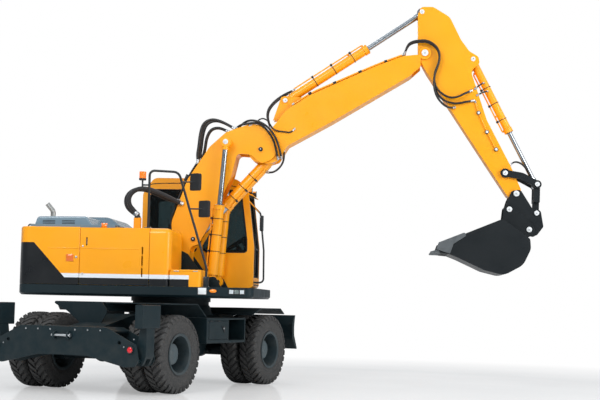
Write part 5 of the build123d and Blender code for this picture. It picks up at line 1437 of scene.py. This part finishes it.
class EXCAVATOR_OT_seat(bpy.types.Operator):
    """Driver's seat: cushion, back and headrest in cloth, with a back plate and belt buckles"""

    bl_idname = "excavator.seat"
    bl_label = "Seat"

    def execute(self, context):
        # Rows are (name, low corner, high corner, crown, axis that it faces, seams).
        rows = (
            ("seat_cushion", (-55, -245, 1955), (436, 245, 2078), 0.22, 2, (0.3, 0.72)),
            ("seat_back", (-185, -235, 1985), (-64, 235, 2470), 0.22, 0, (0.3, 0.7)),
            ("seat_headrest", (-170, -120, 2490), (-78, 120, 2615), 0.2, 0, ()),
        )
        for name, low, high, crown, along, seams in rows:
            draft = Draft()
            draft.finish("cloth")
            draw_cushion(draft, low, high, crown, along, seams)
            draft.move(draft.bm.faces, Matrix.Translation((0, CAB_MIDDLE, 0)))
            replaced = ("seat",) if name == "seat_cushion" else ()
            piece = draft.done(name, "upper_structure", "seat_fabric", replaced, 60)
            smooth = piece.modifiers.new("soft", "SUBSURF")
            smooth.levels = 1
            smooth.render_levels = 1
        # Back plate, posts of the headrest, side piping and belt buckles, all in one dull black.
        shell = Draft()
        shell.finish("seal")
        shell.box((-188, CAB_MIDDLE - 205, 2010), (-172, CAB_MIDDLE + 205, 2440), 6)
        for y in (CAB_MIDDLE - 60, CAB_MIDDLE + 60):
            shell.post(-124, y, 2440, 2520, 7, sides=12)
        for sign in (-1, 1):
            side = CAB_MIDDLE + sign * 215
            shell.pipe([(-150, side, 2060), (-150, side, 2300)], 9, straight=True)
            shell.box((-70, CAB_MIDDLE + sign * 228, 2060), (-20, CAB_MIDDLE + sign * 236, 2110), 3)
        shell.done("seat_shell", "upper_structure", "trim_plastic")
        return {"FINISHED"}


SEAT_BASE_X = (-30, 390)
SEAT_BASE_HALF = 190
CONSOLE_FOOT = 1902
CONSOLE_TOP = 2052
LEVER_X = 470
COLUMN_X = 900
WHEEL_MIDDLE = (860, CAB_MIDDLE, 2150)


class EXCAVATOR_OT_controls(bpy.types.Operator):
    """Seat base, consoles with levers, steering column and wheel, pedals and monitor"""

    bl_idname = "excavator.controls"
    bl_label = "Controls"

    def execute(self, context):
        draft = Draft()
        self.seat_base(draft)
        for sign in (-1, 1):
            self.console(draft, sign)
        self.column(draft)
        draft.finish("floor_mat").box((-480, CAB_RIGHT + 60, 1511), (1110, CAB_LEFT - 60, 1519), 3)
        for foot in (CAB_MIDDLE - 150, CAB_MIDDLE + 150):
            pedal = draft.finish("black").box((760, foot - 45, 1575), (900, foot + 45, 1587), 4)
            draft.move(pedal, tilt_about((830, foot, 1581), -28))
            draft.bar((905, foot, 1520), (870, foot, 1600), 8, sides=12)
        # Monitor on the right front pillar.
        draft.finish("black").box((1000, CAB_RIGHT + 70, 2110), (1050, CAB_RIGHT + 250, 2250), 12, 3)
        draft.finish("mirror").box((996, CAB_RIGHT + 88, 2130), (1001, CAB_RIGHT + 232, 2232), 1)
        draft.finish("black").post(1040, CAB_RIGHT + 90, 2000, 2120, 14, sides=16)
        draft.done("driver_controls", "upper_structure", "trim_plastic", ("controls",))
        return {"FINISHED"}

    def seat_base(self, draft):
        """Lower and upper frame of the seat's suspension, and the folds of the bellows between them."""
        (back, front), half, y = SEAT_BASE_X, SEAT_BASE_HALF, CAB_MIDDLE
        draft.finish("black").box((back, y - half, 1512), (front, y + half, 1640), 14, 3)
        draft.finish("seal")
        for step in range(6):
            z = 1650 + step * 42
            inset = 20 + step % 2 * 8
            draft.box((back + inset, y - 165, z), (front - inset, y + 165, z + 36), 10, 3)
        draft.finish("black").box((back, y - half, CONSOLE_FOOT), (front, y + half, 1948), 10, 3)

    def console(self, draft, sign):
        """One side's console with its arm pad, bracket, lever and row of switches."""
        y = CAB_MIDDLE
        low, high = sorted((y + sign * 262, y + sign * 352))
        draft.finish("trim").box((2, low, CONSOLE_FOOT), (518, high, CONSOLE_TOP), 22, 3)
        draft.finish("seal").box((6, low + 6, CONSOLE_TOP), (330, high - 6, 2088), 14, 3)
        bracket = (60, y + sign * SEAT_BASE_HALF - 2, 1905), (300, y + sign * 262 + 2, 1936)
        draft.finish("black").box(*bracket, 6)
        lever = y + sign * 310
        rows = [(2050, 0), (2050, 34), (2078, 24), (2086, 28), (2110, 16), (2116, 0)]
        draft.finish("seal").upright(rows, LEVER_X, lever, steps=24)
        draft.finish("black").bar((LEVER_X, lever, 2105), (476, lever, 2160), 8, sides=16)
        draft.pipe([(476, lever, 2150), (484, lever, 2180), (478, lever, 2215), (486, lever, 2238)], 17)
        # The knob's red lens finish gives it a painted glow.
        draft.finish("red").bar((488, lever, 2240), (492, lever, 2250), 8, sides=16)
        for step in range(4):
            x = 380 + step * 24
            # The amber switch gets a painted glow from its lens finish.
            draft.finish("amber" if step == 1 else "plate")
            draft.box((x, low + 12, CONSOLE_TOP - 1), (x + 14, low + 30, 2057), 2)

    def column(self, draft):
        """Steering column with its boot, and the wheel with its rim, spokes and stalk."""
        rows = [(1512, 0), (1512, 88), (1540, 76), (1600, 58), (1950, 50), (2060, 56), (2080, 40), (2082, 0)]
        draft.finish("black").upright(rows, COLUMN_X, CAB_MIDDLE)
        wheel = draft.finish("seal").ring((0, 0, 0), (0, 0, 1), 180, 15, 24)
        draft.finish("black")
        wheel += draft.post(0, 0, -18, 16, 42, sides=32, edge=6)
        for angle in (0, 120, 240):
            spoke = Matrix.Rotation(math.radians(angle), 4, "Z")
            end = spoke @ Vector((172, 0, 0))
            wheel += draft.pipe([(0, 0, 0), end * 0.5 + Vector((0, 0, -10)), end], 10)
        wheel += draft.post(0, 0, -120, -10, 28, sides=24)
        wheel += draft.pipe([(20, 0, -70), (10, 90, -60), (0, 170, -45)], 7)
        draft.move(wheel, Matrix.Translation(WHEEL_MIDDLE) @ Matrix.Rotation(math.radians(-35), 4, "Y"))


class EXCAVATOR_OT_rail_fittings(bpy.types.Operator):
    """Mirror glass, beacon ribs and feet of the handrail"""

    bl_idname = "excavator.rail_fittings"
    bl_label = "Rail fittings"

    def execute(self, context):
        draft = Draft()
        y = RAIL_Y
        half = 104
        edge = half + 8
        for x, z in MIRRORS:
            turn = Matrix.Translation((x, y, z)) @ Matrix.Rotation(math.radians(58), 4, "Z")
            draft.finish("mirror")
            draft.move(draft.box((25, -74, -half), (31, 74, half), 1.5), turn)
            draft.finish("black")
            corners = [(a, b, 20) for a, b in ((-80, -edge), (-80, edge), (80, edge), (80, -edge))]
            rim = [(27, a, b) for a, b in rounded(corners, 4)]
            draft.move(draft.pipe(rim, 5, straight=True, closed=True), turn)
        draft.finish("black").upright([(2948, 0), (2948, 50), (2972, 52), (2976, 46)], BEACON_X, y)
        draft.finish("beacon")
        for z in range(2984, 3060, 15):
            draft.ring((BEACON_X, y, z), (0, 0, 1), 47, 3, 16)
        draft.finish("rail")
        for x, z in ((-150, HOOD_TOP), (700, 1440)):
            draft.box((x - 48, y - 40, z), (x + 48, y + 40, z + 10), 3)
            for dx in (-34, 34):
                draft.finish("zinc").post(x + dx, y, z + 9, z + 18, 9, sides=6)
            draft.finish("rail")
        draft.box((662, y - 30, 1446), (738, y + 30, 1590), 8)
        draft.done("rail_fittings", "upper_structure", "rail_paint")
        return {"FINISHED"}


# Working equipment


BOOM_FOOT = (163, 1879)
BOOM_JOINT = (1331, 3527)
BOOM_TIP = (3763, 5006)
ARM_TIP = (5127, 2911)
LIFT_BASE = (660, 1542)
LIFT_EYE = (821, 3616)
ADJUST_EYE = (345, 2165)
ADJUST_BASE = (1475, 3420)
ARM_RAM_BASE = (1675, 4285)
ARM_RAM_EYE = (3714, 5640)
BUCKET_RAM_BASE = (4481, 4924)
ROCKER_PIN = (4960, 3214)
ROCKER_TIP = (5430, 3052)
LINK_PIN = (5422, 2628)
BUCKET_PIN = (5312, 2382)
HOOK_PIN = (5022, 2676)

# Radius of the pins that end in a dark sunk plug.
BLIND_PIN = 34

# Rows are (body, pin, how far out its end is, radius, height).
PIN_ENDS = (
    ("lower_boom", BOOM_JOINT, 214, BLIND_PIN, 10),
    ("lower_boom", BOOM_FOOT, 214, BLIND_PIN, 10),
    ("lower_boom", ADJUST_EYE, 214, BLIND_PIN, 10),
    ("lift_rods", LIFT_EYE, 373, 40, 14),
    ("upper_boom", BOOM_TIP, 183, 50, 14),
    ("upper_boom", ARM_RAM_BASE, 109, 35, 12),
    ("arm", ARM_RAM_EYE, 139, 36, 14),
    ("arm", BUCKET_RAM_BASE, 139, 35, 12),
    ("arm", ROCKER_PIN, 203, 38, 10),
    ("bucket", ARM_TIP, 189, 44, 10),
    ("rocker", ROCKER_TIP, 201, 35, 8),
    ("bucket", LINK_PIN, 189, 36, 8),
    ("bucket", HOOK_PIN, 215, 40, 8),
    ("bucket", BUCKET_PIN, 215, 40, 8),
)

# Rows are (body, base pin, rod eye, barrel length, barrel radius, middles across, and how many
# degrees the oil pipe is turned round the barrel).
BARRELS = (
    ("lift_barrels", LIFT_BASE, LIFT_EYE, 1130, 72, (-322, 322), 0),
    ("adjust_barrel", ADJUST_BASE, ADJUST_EYE, 1010, 92, (0,), -50),
    ("arm_barrel", ARM_RAM_BASE, ARM_RAM_EYE, 1474, 68, (0,), 0),
    ("bucket_barrel", BUCKET_RAM_BASE, ROCKER_TIP, 1215, 58, (0,), 180),
)


def beside(base, eye, along, off):
    """The (x, z) of a place along the line from a base pin to an eye, moved off to its left."""
    line = (Vector(eye) - Vector(base)).normalized()
    spot = Vector(base) + line * along + Vector((-line.y, line.x)) * off
    return spot.x, spot.y


class EXCAVATOR_OT_pin_ends(bpy.types.Operator):
    """Round caps with their bolts on the ends of the boom, arm and bucket pins"""

    bl_idname = "excavator.pin_ends"
    bl_label = "Pin ends"

    def execute(self, context):
        drafts = {}
        for body, (x, z), half, radius, height in PIN_ENDS:
            draft = drafts.setdefault(body, Draft())
            for side in (-1, 1):
                finish = "black" if radius == BLIND_PIN else "pin"
                draft.cap((x, side * half, z), (0, side, 0), radius, height, finish)
        for body, draft in drafts.items():
            draft.done(f"pin_ends_{body}", body, "rod_chrome", smooth=40)
        return {"FINISHED"}


class EXCAVATOR_OT_barrel_pipes(bpy.types.Operator):
    """Gland rings, oil pipes, ports and clamps along the barrels of the rams"""

    bl_idname = "excavator.barrel_pipes"
    bl_label = "Barrel pipes"

    def execute(self, context):
        for body, base, eye, length, radius, middles, turned in BARRELS:
            draft = Draft()
            for y in middles:
                self.pipe(draft, base, eye, length, radius, y, math.radians(turned))
            draft.done(f"oil_pipes_{body}", body, "body_paint", smooth=40)
        return {"FINISHED"}

    def pipe(self, draft, base, eye, length, radius, y, turned):
        """One barrel's gland, pipe, ports and clamps."""

        def place(along, off, across=0.0):
            outward = off * math.cos(turned) - across * math.sin(turned)
            x, z = beside(base, eye, along, outward)
            return Vector((x, y + off * math.sin(turned) + across * math.cos(turned), z))

        draft.finish("black")
        draft.bar(place(length - 1, 0), place(length + 9, 0), radius * 0.82, sides=40, edge=2)
        draft.finish("body")
        for start in (length - 66, length - 12):
            draft.bar(place(start, 0), place(start + 8, 0), radius + 12, sides=40, edge=2)
        for turn in turn_steps(10):
            spot = math.cos(turn) * (radius - 12), math.sin(turn) * (radius - 12)
            draft.finish("zinc").bar(place(length - 2, *spot), place(length + 8, *spot), 7, sides=6)
        draft.finish("body")
        reach = radius + 26
        low, high = 190, length - 40
        for across in (-16, 16):
            start = low if across < 0 else high - 260
            foot = place(start, radius - 6, across)
            draft.bar(foot, place(start, radius + 16, across), 17, sides=20, edge=2)
        line = [place(low, radius + 6, -16), place(low + 6, reach, -16), place(low + 60, reach, -16)]
        line += [place(high - 60, reach, 0), place(high - 6, reach, 0), place(high, radius + 4, 0)]
        draft.pipe(line, 11)
        draft.finish("black")
        for share in (0.28, 0.55, 0.82):
            along = low + (high - low) * share
            middle = place(along, 0)
            draft.ring(middle, middle - place(along - 1, 0), radius + 4, 5, 20)
            draft.bar(place(along - 16, reach, -8), place(along + 16, reach, -8), 19, sides=12, edge=3)


LOWER_RUN = ((2, 2235), (-16, 2430), (40, 2600), (212, 3080), (380, 3332))
UPPER_RUN = ((1790, 4216), (2050, 4392), (2300, 4502), (3025, 4826), (3300, 4932), (3452, 4988))
ARM_RUN = ((4512, 4290), (4536, 4200), (4567, 4111), (4692, 3825), (4836, 3551))
ARM_BOSSES = ((4567, 4111), (4692, 3825), (4828, 3567))

# Rows are (body, radius, offsets across, points of (x, z)) of the rigid pipes.
PIPES = (
    ("lower_boom", 15, (-160, -112, -58, -12, 52), LOWER_RUN),
    ("upper_boom", 12, (-148, -112, -76), UPPER_RUN),
    ("upper_boom", 12, (76, 112), UPPER_RUN),
    ("arm", 13, (-153,), ARM_RUN),
)

# Rows are (body, middle as (x, z), half length, (low y, high y)) of the clamps over them.
CLAMPS = (
    ("lower_boom", (212, 3090), 52, (-176, 68)),
    ("lower_boom", (70, 2700), 52, (-176, 68)),
    ("upper_boom", (2050, 4384), 26, (-164, -60)),
    ("upper_boom", (2420, 4548), 26, (-164, -60)),
    ("upper_boom", (2800, 4716), 26, (-164, -60)),
    ("upper_boom", (3180, 4878), 22, (-164, -60)),
    ("upper_boom", (2050, 4384), 26, (60, 128)),
    ("upper_boom", (2800, 4716), 26, (60, 128)),
)

# How steep the clamped plates are, in degrees.
SLOPES = {"lower_boom": 69, "upper_boom": 23.5}


class EXCAVATOR_OT_boom_pipes(bpy.types.Operator):
    """Rigid oil pipes along the booms and the arm, with their clamps and bosses"""

    bl_idname = "excavator.boom_pipes"
    bl_label = "Boom pipes"

    def execute(self, context):
        drafts = {}
        for body, radius, offsets, line in PIPES:
            draft = drafts.setdefault(body, Draft())
            for y in offsets:
                draft.finish("black" if body == "lower_boom" else "body")
                draft.pipe([(x, y, z) for x, z in line], radius)
                draft.finish("zinc")
                for first, second in ((line[0], line[1]), (line[-1], line[-2])):
                    start, far = Vector((first[0], y, first[1])), Vector((second[0], y, second[1]))
                    inward = (far - start).normalized()
                    draft.bar(start - inward * 4, start + inward * 34, radius + 6, sides=6, edge=1)
        for body, (x, z), half, (low, high) in CLAMPS:
            draft = drafts[body]
            draft.finish("black")
            block = draft.box((x - half, low, z - 14), (x + half, high, z + 22), 5)
            draft.move(block, tilt_about((x, 0, z), -SLOPES[body]))
        arm = drafts["arm"]
        for x, z in ARM_BOSSES:
            arm.finish("black").across(x, z, -138, -168, 30, sides=28, edge=4)
            arm.finish("pin").across(x, z, -166, -176, 20, sides=24, edge=3)
        for body, draft in drafts.items():
            draft.done(f"fixed_pipes_{body}", body, "body_paint", smooth=40)
        return {"FINISHED"}


# Hoses


# Their points are given in millimetres, with +X ahead, +Y left and +Z up.
SHOULDER_OUTER = ((384, 3318), (362, 3420), (384, 3560), (398, 3746), (435, 3899), (510, 3965))
SHOULDER_OUTER += ((610, 3982), (724, 3947), (850, 3880), (930, 3836))
SHOULDER_INNER = ((392, 3338), (440, 3430), (466, 3560), (480, 3700), (530, 3818), (604, 3866))
SHOULDER_INNER += ((717, 3862), (826, 3802))
ARM_LOOP = ((3494, 5090), (3568, 5148), (3687, 5168), (3791, 5166), (3881, 5121), (3956, 5046))
ARM_LOOP += ((3986, 4925), (3958, 4804), (3915, 4698))
JOINT_ARC = ((935, -150, 3838), (1000, -190, 3890), (1090, -226, 3905), (1239, -232, 3926))
JOINT_ARC += ((1346, -232, 3889), (1438, -232, 3799), (1515, -232, 3679), (1556, -232, 3560))
JOINT_ARC += ((1578, -222, 3450), (1592, -178, 3384))
WIDE_ARC = ((962, -110, 3846), (1060, -180, 3935), (1180, -262, 3962), (1330, -268, 3930))
WIDE_ARC += ((1460, -268, 3840), (1562, -266, 3690), (1608, -262, 3560), (1634, -240, 3460))
WIDE_ARC += ((1640, -178, 3398),)
THIN_ARC = ((1148, -192, 3878), (1248, -200, 3935), (1337, -205, 4004), (1428, -200, 3965))
THIN_ARC += ((1475, -195, 3884), (1522, -190, 3824), (1612, -186, 3802), (1703, -184, 3795))
THIN_ARC += ((1779, -182, 3785), (1837, -176, 3849))
HANGING = ((1671, -100, 3556), (1681, -100, 3427), (1646, -98, 3306), (1557, -86, 3214))
HANGING += ((1467, -60, 3188), (1409, -30, 3206))
CAB_LOOP = ((-422, -600, 2486), (-470, -602, 2540), (-560, -604, 2640), (-560, -596, 2780))
CAB_LOOP += ((-450, -566, 2880), (-300, -500, 2890), (-120, -410, 2825), (50, -310, 2745))
CAB_LOOP += ((165, -210, 2690),)
FOOT_LOOP = ((-70, 1444), (-96, 1600), (-112, 1850), (-86, 2060), (-24, 2170), (0, 2226))
TOP_TAIL = ((3901, 4593), (3932, 4472), (4022, 4383), (4140, 4323), (4258, 4339), (4364, 4396))
TOP_TAIL += ((4466, 4448),)
MIDDLE_TAIL = ((3901, 4560), (3932, 4412), (4008, 4307), (4126, 4248), (4259, 4234), (4377, 4265))
MIDDLE_TAIL += ((4494, 4296),)
LOW_TAIL = ((3898, 4573), (3903, 4442), (3948, 4307), (4038, 4203), (4127, 4151), (4216, 4190))
BUCKET_UPPER = ((4508, -142, 4470), (4545, -168, 4500), (4600, -140, 4545), (4636, -80, 4572))
BUCKET_UPPER += ((4650, -50, 4576),)
BUCKET_LOWER = ((4540, -142, 4372), (4580, -170, 4395), (4640, -140, 4425), (4690, -80, 4448))
BUCKET_LOWER += ((4708, -48, 4452),)
# Rows are (y, points after the loop) of the three arm hoses.
ARM_TAILS = ((-204, TOP_TAIL), (-178, MIDDLE_TAIL), (-228, LOW_TAIL))

# Where the bend between two bodies starts and ends.
BOOM_BEND = ((1150, -230, 3900), (1480, -230, 3420))
ADJUST_BEND = ((1671, -100, 3500), (1440, -60, 3200))
ARM_RAM_BEND = ((1560, -60, 4300), (1790, -40, 4460))
ARM_BEND = ((3740, -180, 5150), (3940, -180, 4560))
BUCKET_RAM_BEND = ((4540, -120, 4500), (4650, -60, 4560))
ROCKER_BEND = ((5080, -90, 3360), (5340, -90, 3160))
SUPPLY_BEND = ((-430, -560, 2880), (130, -230, 2700))
FOOT_BEND = ((-100, 0, 1700), (-20, 0, 2180))


def hose_table():
    """Rows of (name, body, second body or None, diameter, finish, bend, points) of every free hose."""
    rows = []

    def add(name, body, second, diameter, bend, line, finish="hose"):
        rows.append((name, body, second, diameter, finish, bend, line))

    for number, y in enumerate((-160, -112, 52)):
        line = [(x + number * 6, y, z + number * 4) for x, z in SHOULDER_OUTER]
        add(f"shoulder_hose_outer_{number + 1}", "lower_boom", None, 40, None, line)
    for number, y in enumerate((-58, -12)):
        line = [(x, y, z) for x, z in SHOULDER_INNER]
        add(f"shoulder_hose_inner_{number + 1}", "lower_boom", None, 40, None, line)
    add("joint_hose_inner", "lower_boom", "upper_boom", 34, BOOM_BEND, JOINT_ARC)
    add("joint_hose_outer", "lower_boom", "upper_boom", 34, BOOM_BEND, WIDE_ARC)
    add("joint_hose_thin", "lower_boom", "upper_boom", 22, BOOM_BEND, THIN_ARC)
    add("adjusting_ram_hose", "upper_boom", "adjust_barrel", 30, ADJUST_BEND, HANGING)
    for number, y in enumerate((-62, 58)):
        line = ((1470, y, 3838), (1404, y, 3990), (1402, y, 4131), (1470, y, 4240), (1570, y, 4330))
        line += ((1680, y * 0.8, 4400), (1760, y * 0.5, 4440), (1812, y * 0.3, 4462))
        add(f"arm_ram_hose_{number + 1}", "upper_boom", "arm_barrel", 30, ARM_RAM_BEND, line)
    for number, (y, tail) in enumerate(ARM_TAILS):
        end_x, end_z = tail[-1]
        line = [(3455, -148 + number * 36, 4990)]
        line += [(x, y, z + number * 9) for x, z in ARM_LOOP + tail[:-1]]
        line.append((end_x, -143, end_z))
        add(f"arm_hose_{number + 1}", "upper_boom", "arm", 32, ARM_BEND, line)
    add("bucket_ram_hose_1", "arm", "bucket_barrel", 24, BUCKET_RAM_BEND, BUCKET_UPPER)
    add("bucket_ram_hose_2", "arm", "bucket_barrel", 24, BUCKET_RAM_BEND, BUCKET_LOWER)
    for number, y in enumerate((-100, -62)):
        line = ((5030, y, 3330), (5067, y, 3372), (5125, y, 3398), (5213, y, 3366))
        line += ((5290, y * 0.95, 3280), (5340, y * 0.9, 3180), (5392, y * 0.86, 3100))
        add(f"coupler_hose_{number + 1}", "arm", "rocker", 22, ROCKER_BEND, line)
    first, last = CAB_LOOP[0], CAB_LOOP[-1]
    for number in range(2):
        line = [(x - number * 54, y + number * 70, z - number * 6) for x, y, z in CAB_LOOP]
        line[0] = (first[0] - number * 8 + 4, first[1] + number * 16 - 8, first[2])
        line[-1] = (last[0] - number * 36, last[1], last[2] + number * 30)
        name = f"boom_supply_hose_{number + 1}"
        add(name, "upper_structure", "lower_boom", 68, SUPPLY_BEND, line, "sleeve")
    for number, y in enumerate((-160, -112, -58, -12, 52)):
        line = [(x, y, z) for x, z in FOOT_LOOP]
        add(f"foot_hose_{number + 1}", "upper_structure", "lower_boom", 36, FOOT_BEND, line)
    return rows


def centre_line(name, spots):
    """Points along the smooth line of a route."""
    holder = bpy.data.objects.new(name, route(name, spots))
    mesh = bpy.data.meshes.new_from_object(holder)
    points = [vert.co.copy() for vert in mesh.vertices]
    bpy.data.objects.remove(holder)
    bpy.data.meshes.remove(mesh)
    return points


def make_hose(name, body, second, diameter, finish, points):
    """A free hose: a curve on one body, or a tube between two."""
    spots = [UPPER @ Vector(p) for p in points]
    line = centre_line(name, spots)
    data = route(name, spots, diameter / 2 * MM)
    if second is None:
        data.materials.append(FINISHES[finish])
        piece = bpy.data.objects.new(name, data)
        bpy.context.scene.collection.objects.link(piece)
        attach(piece, body)
    else:
        holder = bpy.data.objects.new(name, data)
        mesh = bpy.data.meshes.new_from_object(holder)
        bpy.data.objects.remove(holder)
        mesh.materials.clear()
        mesh.materials.append(FINISHES[finish])
        for face in mesh.polygons:
            face.use_smooth = True
        piece = bpy.data.objects.new(name, mesh)
        bpy.context.scene.collection.objects.link(piece)
        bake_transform(piece)
    return piece


class EXCAVATOR_OT_hoses(bpy.types.Operator):
    """Free hydraulic hoses over the joints, with their crimped fittings"""

    bl_idname = "excavator.hoses"
    bl_label = "Hoses"

    def execute(self, context):
        drafts = {}
        for name, body, second, diameter, finish, ends, points in hose_table():
            make_hose(name, body, second, diameter, finish, points)
            radius = diameter / 2
            for owner, near, far in ((body, points[0], points[1]), (second or body, points[-1], points[-2])):
                draft = drafts.setdefault(owner, Draft())
                near, far = Vector(near), Vector(far)
                inward = (far - near).normalized()
                draft.finish("zinc")
                draft.bar(near - inward * 6, near + inward * 18, radius + 7, sides=6, edge=1)
                draft.bar(near + inward * 16, near + inward * 52, radius + 3, sides=20, edge=2)
        for body, draft in drafts.items():
            draft.done(f"hose_fittings_{body}", body, "rod_chrome", smooth=40)
        return {"FINISHED"}


# Undercarriage


BEAM_BACK = -2650
TOW_PIN = (BEAM_BACK - 40, 765)
LAMP_Y = 1075
LAMP_Z = 605
# Rows are (start, end) of the drive shafts along the frame, and the heights of those two ends.
SHAFTS = ((-1500, -900), (150, 720))
SHAFT_ENDS = (560, 600)


class EXCAVATOR_OT_under_fittings(bpy.types.Operator):
    """Rear lamps, tow pin, bolts, step studs, latch, drive shafts and cross pipe of the undercarriage"""

    bl_idname = "excavator.under_fittings"
    bl_label = "Undercarriage fittings"

    def execute(self, context):
        draft = Draft()
        for side in (-1, 1):
            y = side * LAMP_Y
            draft.finish("black")
            draft.ring((BEAM_BACK - 23, y, LAMP_Z), (1, 0, 0), 44, 5, 24)
            draft.finish("red").ball((BEAM_BACK - 19, y, LAMP_Z), 41, (0.4, 1, 1), 24)
        # Tow pin through the lugs, with its head.
        x, z = TOW_PIN
        draft.finish("zinc").across(x, z, -150, 150, 15, sides=24, edge=2)
        draft.across(x, z, -158, -146, 24, sides=24, edge=3)
        # Bolts along the upper flange of the rear beam plate.
        for y in range(-600, 601, 200):
            if abs(y) > 150:
                draft.along(BEAM_BACK - 8, BEAM_BACK + 4, y, 840, 12, sides=6)
        for side in (-1, 1):
            for y, z in ((970, 640), (1120, 740)):
                draft.along(BEAM_BACK - 7, BEAM_BACK + 4, side * y, z, 10, sides=6)
        # A cross pipe behind the beam.
        line = ((60, -640, 850), (70, -300, 800), (70, 300, 800), (60, 640, 850))
        draft.finish("hose").pipe([(BEAM_BACK + x, y, z) for x, y, z in line], 12)
        # Drive shafts between the gearbox and the axles.
        low, high = SHAFT_ENDS
        for start, end in SHAFTS:
            draft.finish("iron").bar((start, 0, low), (end, 0, high), 38, sides=32, edge=3)
            for x, z in ((start, low), (end, high)):
                draft.along(x - 30, x + 30, 0, z, 62, sides=32, edge=5)
        draft.done("undercarriage_fittings", "chassis", "frame_paint", smooth=40, place=UNDER)
        self.treads()
        self.latch()
        return {"FINISHED"}

    def treads(self):
        """Raised studs in the right step well."""
        draft = Draft()
        draft.finish("zinc")
        z = 656
        for x in range(-300, 100, 50):
            for y in range(-1180, -1080, 50):
                draft.post(x, y, z - 2, z + 6, 9, end_radius=6, sides=12)
        draft.done("step_studs", "chassis", "rod_chrome", smooth=40, place=UNDER)

    def latch(self):
        """Triangular latch plate, key lock and hinges of the tool box door."""
        draft = Draft()
        rows = [(-470, 790, 12), (-470, 890, 12), (-560, 890, 12)]
        draft.finish("black")
        draft.side(rounded(rows, 3), -1213, -1202, 2)
        draft.finish("zinc").across(-500, 862, -1210, -1218, 13, sides=24, edge=2)
        for x in (-860, -640):
            draft.finish("black").along(x - 30, x + 30, -1208, 966, 8, sides=12)
        draft.done("tool_box_latch", "side_box_door", "trim_plastic", place=UNDER)


class EXCAVATOR_PT_pieces(bpy.types.Panel):
    """The settings, and a button for each step in the order in which they are drawn"""

    bl_idname = "EXCAVATOR_PT_pieces"
    bl_label = "Wheeled excavator"
    bl_space_type = "VIEW_3D"
    bl_region_type = "UI"
    bl_category = "Excavator"

    def draw(self, context):
        paints = context.scene.excavator_paints
        sizes = context.scene.excavator_sizes
        for group in (paints, sizes):
            for name in group.__annotations__:
                self.layout.prop(group, name)
        for operator in OPERATORS:
            self.layout.operator(operator.bl_idname)


OPERATORS = (
    EXCAVATOR_OT_stage,
    EXCAVATOR_OT_finishes,
    EXCAVATOR_OT_hoses,
    EXCAVATOR_OT_plates,
    EXCAVATOR_OT_wheels,
    EXCAVATOR_OT_body_details,
    EXCAVATOR_OT_cab_glazing,
    EXCAVATOR_OT_seat,
    EXCAVATOR_OT_controls,
    EXCAVATOR_OT_rail_fittings,
    EXCAVATOR_OT_pin_ends,
    EXCAVATOR_OT_barrel_pipes,
    EXCAVATOR_OT_boom_pipes,
    EXCAVATOR_OT_under_fittings,
)
CLASSES = (ExcavatorPaints, ExcavatorSizes, *OPERATORS, EXCAVATOR_PT_pieces)


def register():
    """Adds the classes and their settings."""
    for kind in CLASSES:
        bpy.utils.register_class(kind)
    bpy.types.Scene.excavator_paints = bpy.props.PointerProperty(type=ExcavatorPaints)
    bpy.types.Scene.excavator_sizes = bpy.props.PointerProperty(type=ExcavatorSizes)


def unregister():
    """Takes the settings and the classes away."""
    del bpy.types.Scene.excavator_sizes
    del bpy.types.Scene.excavator_paints
    for kind in reversed(CLASSES):
        bpy.utils.unregister_class(kind)


def main():
    """Draws the whole machine in order."""
    bpy.context.scene.view_settings.view_transform = "Standard"
    register()
    bpy.ops.excavator.stage()
    bpy.ops.excavator.finishes()
    bpy.ops.excavator.hoses()
    bpy.ops.excavator.plates()
    bpy.ops.excavator.wheels()
    bpy.ops.excavator.body_details()
    bpy.ops.excavator.cab_glazing()
    bpy.ops.excavator.seat()
    bpy.ops.excavator.controls()
    bpy.ops.excavator.rail_fittings()
    bpy.ops.excavator.pin_ends()
    bpy.ops.excavator.barrel_pipes()
    bpy.ops.excavator.boom_pipes()
    bpy.ops.excavator.under_fittings()


if __name__ == "__main__":
    main()
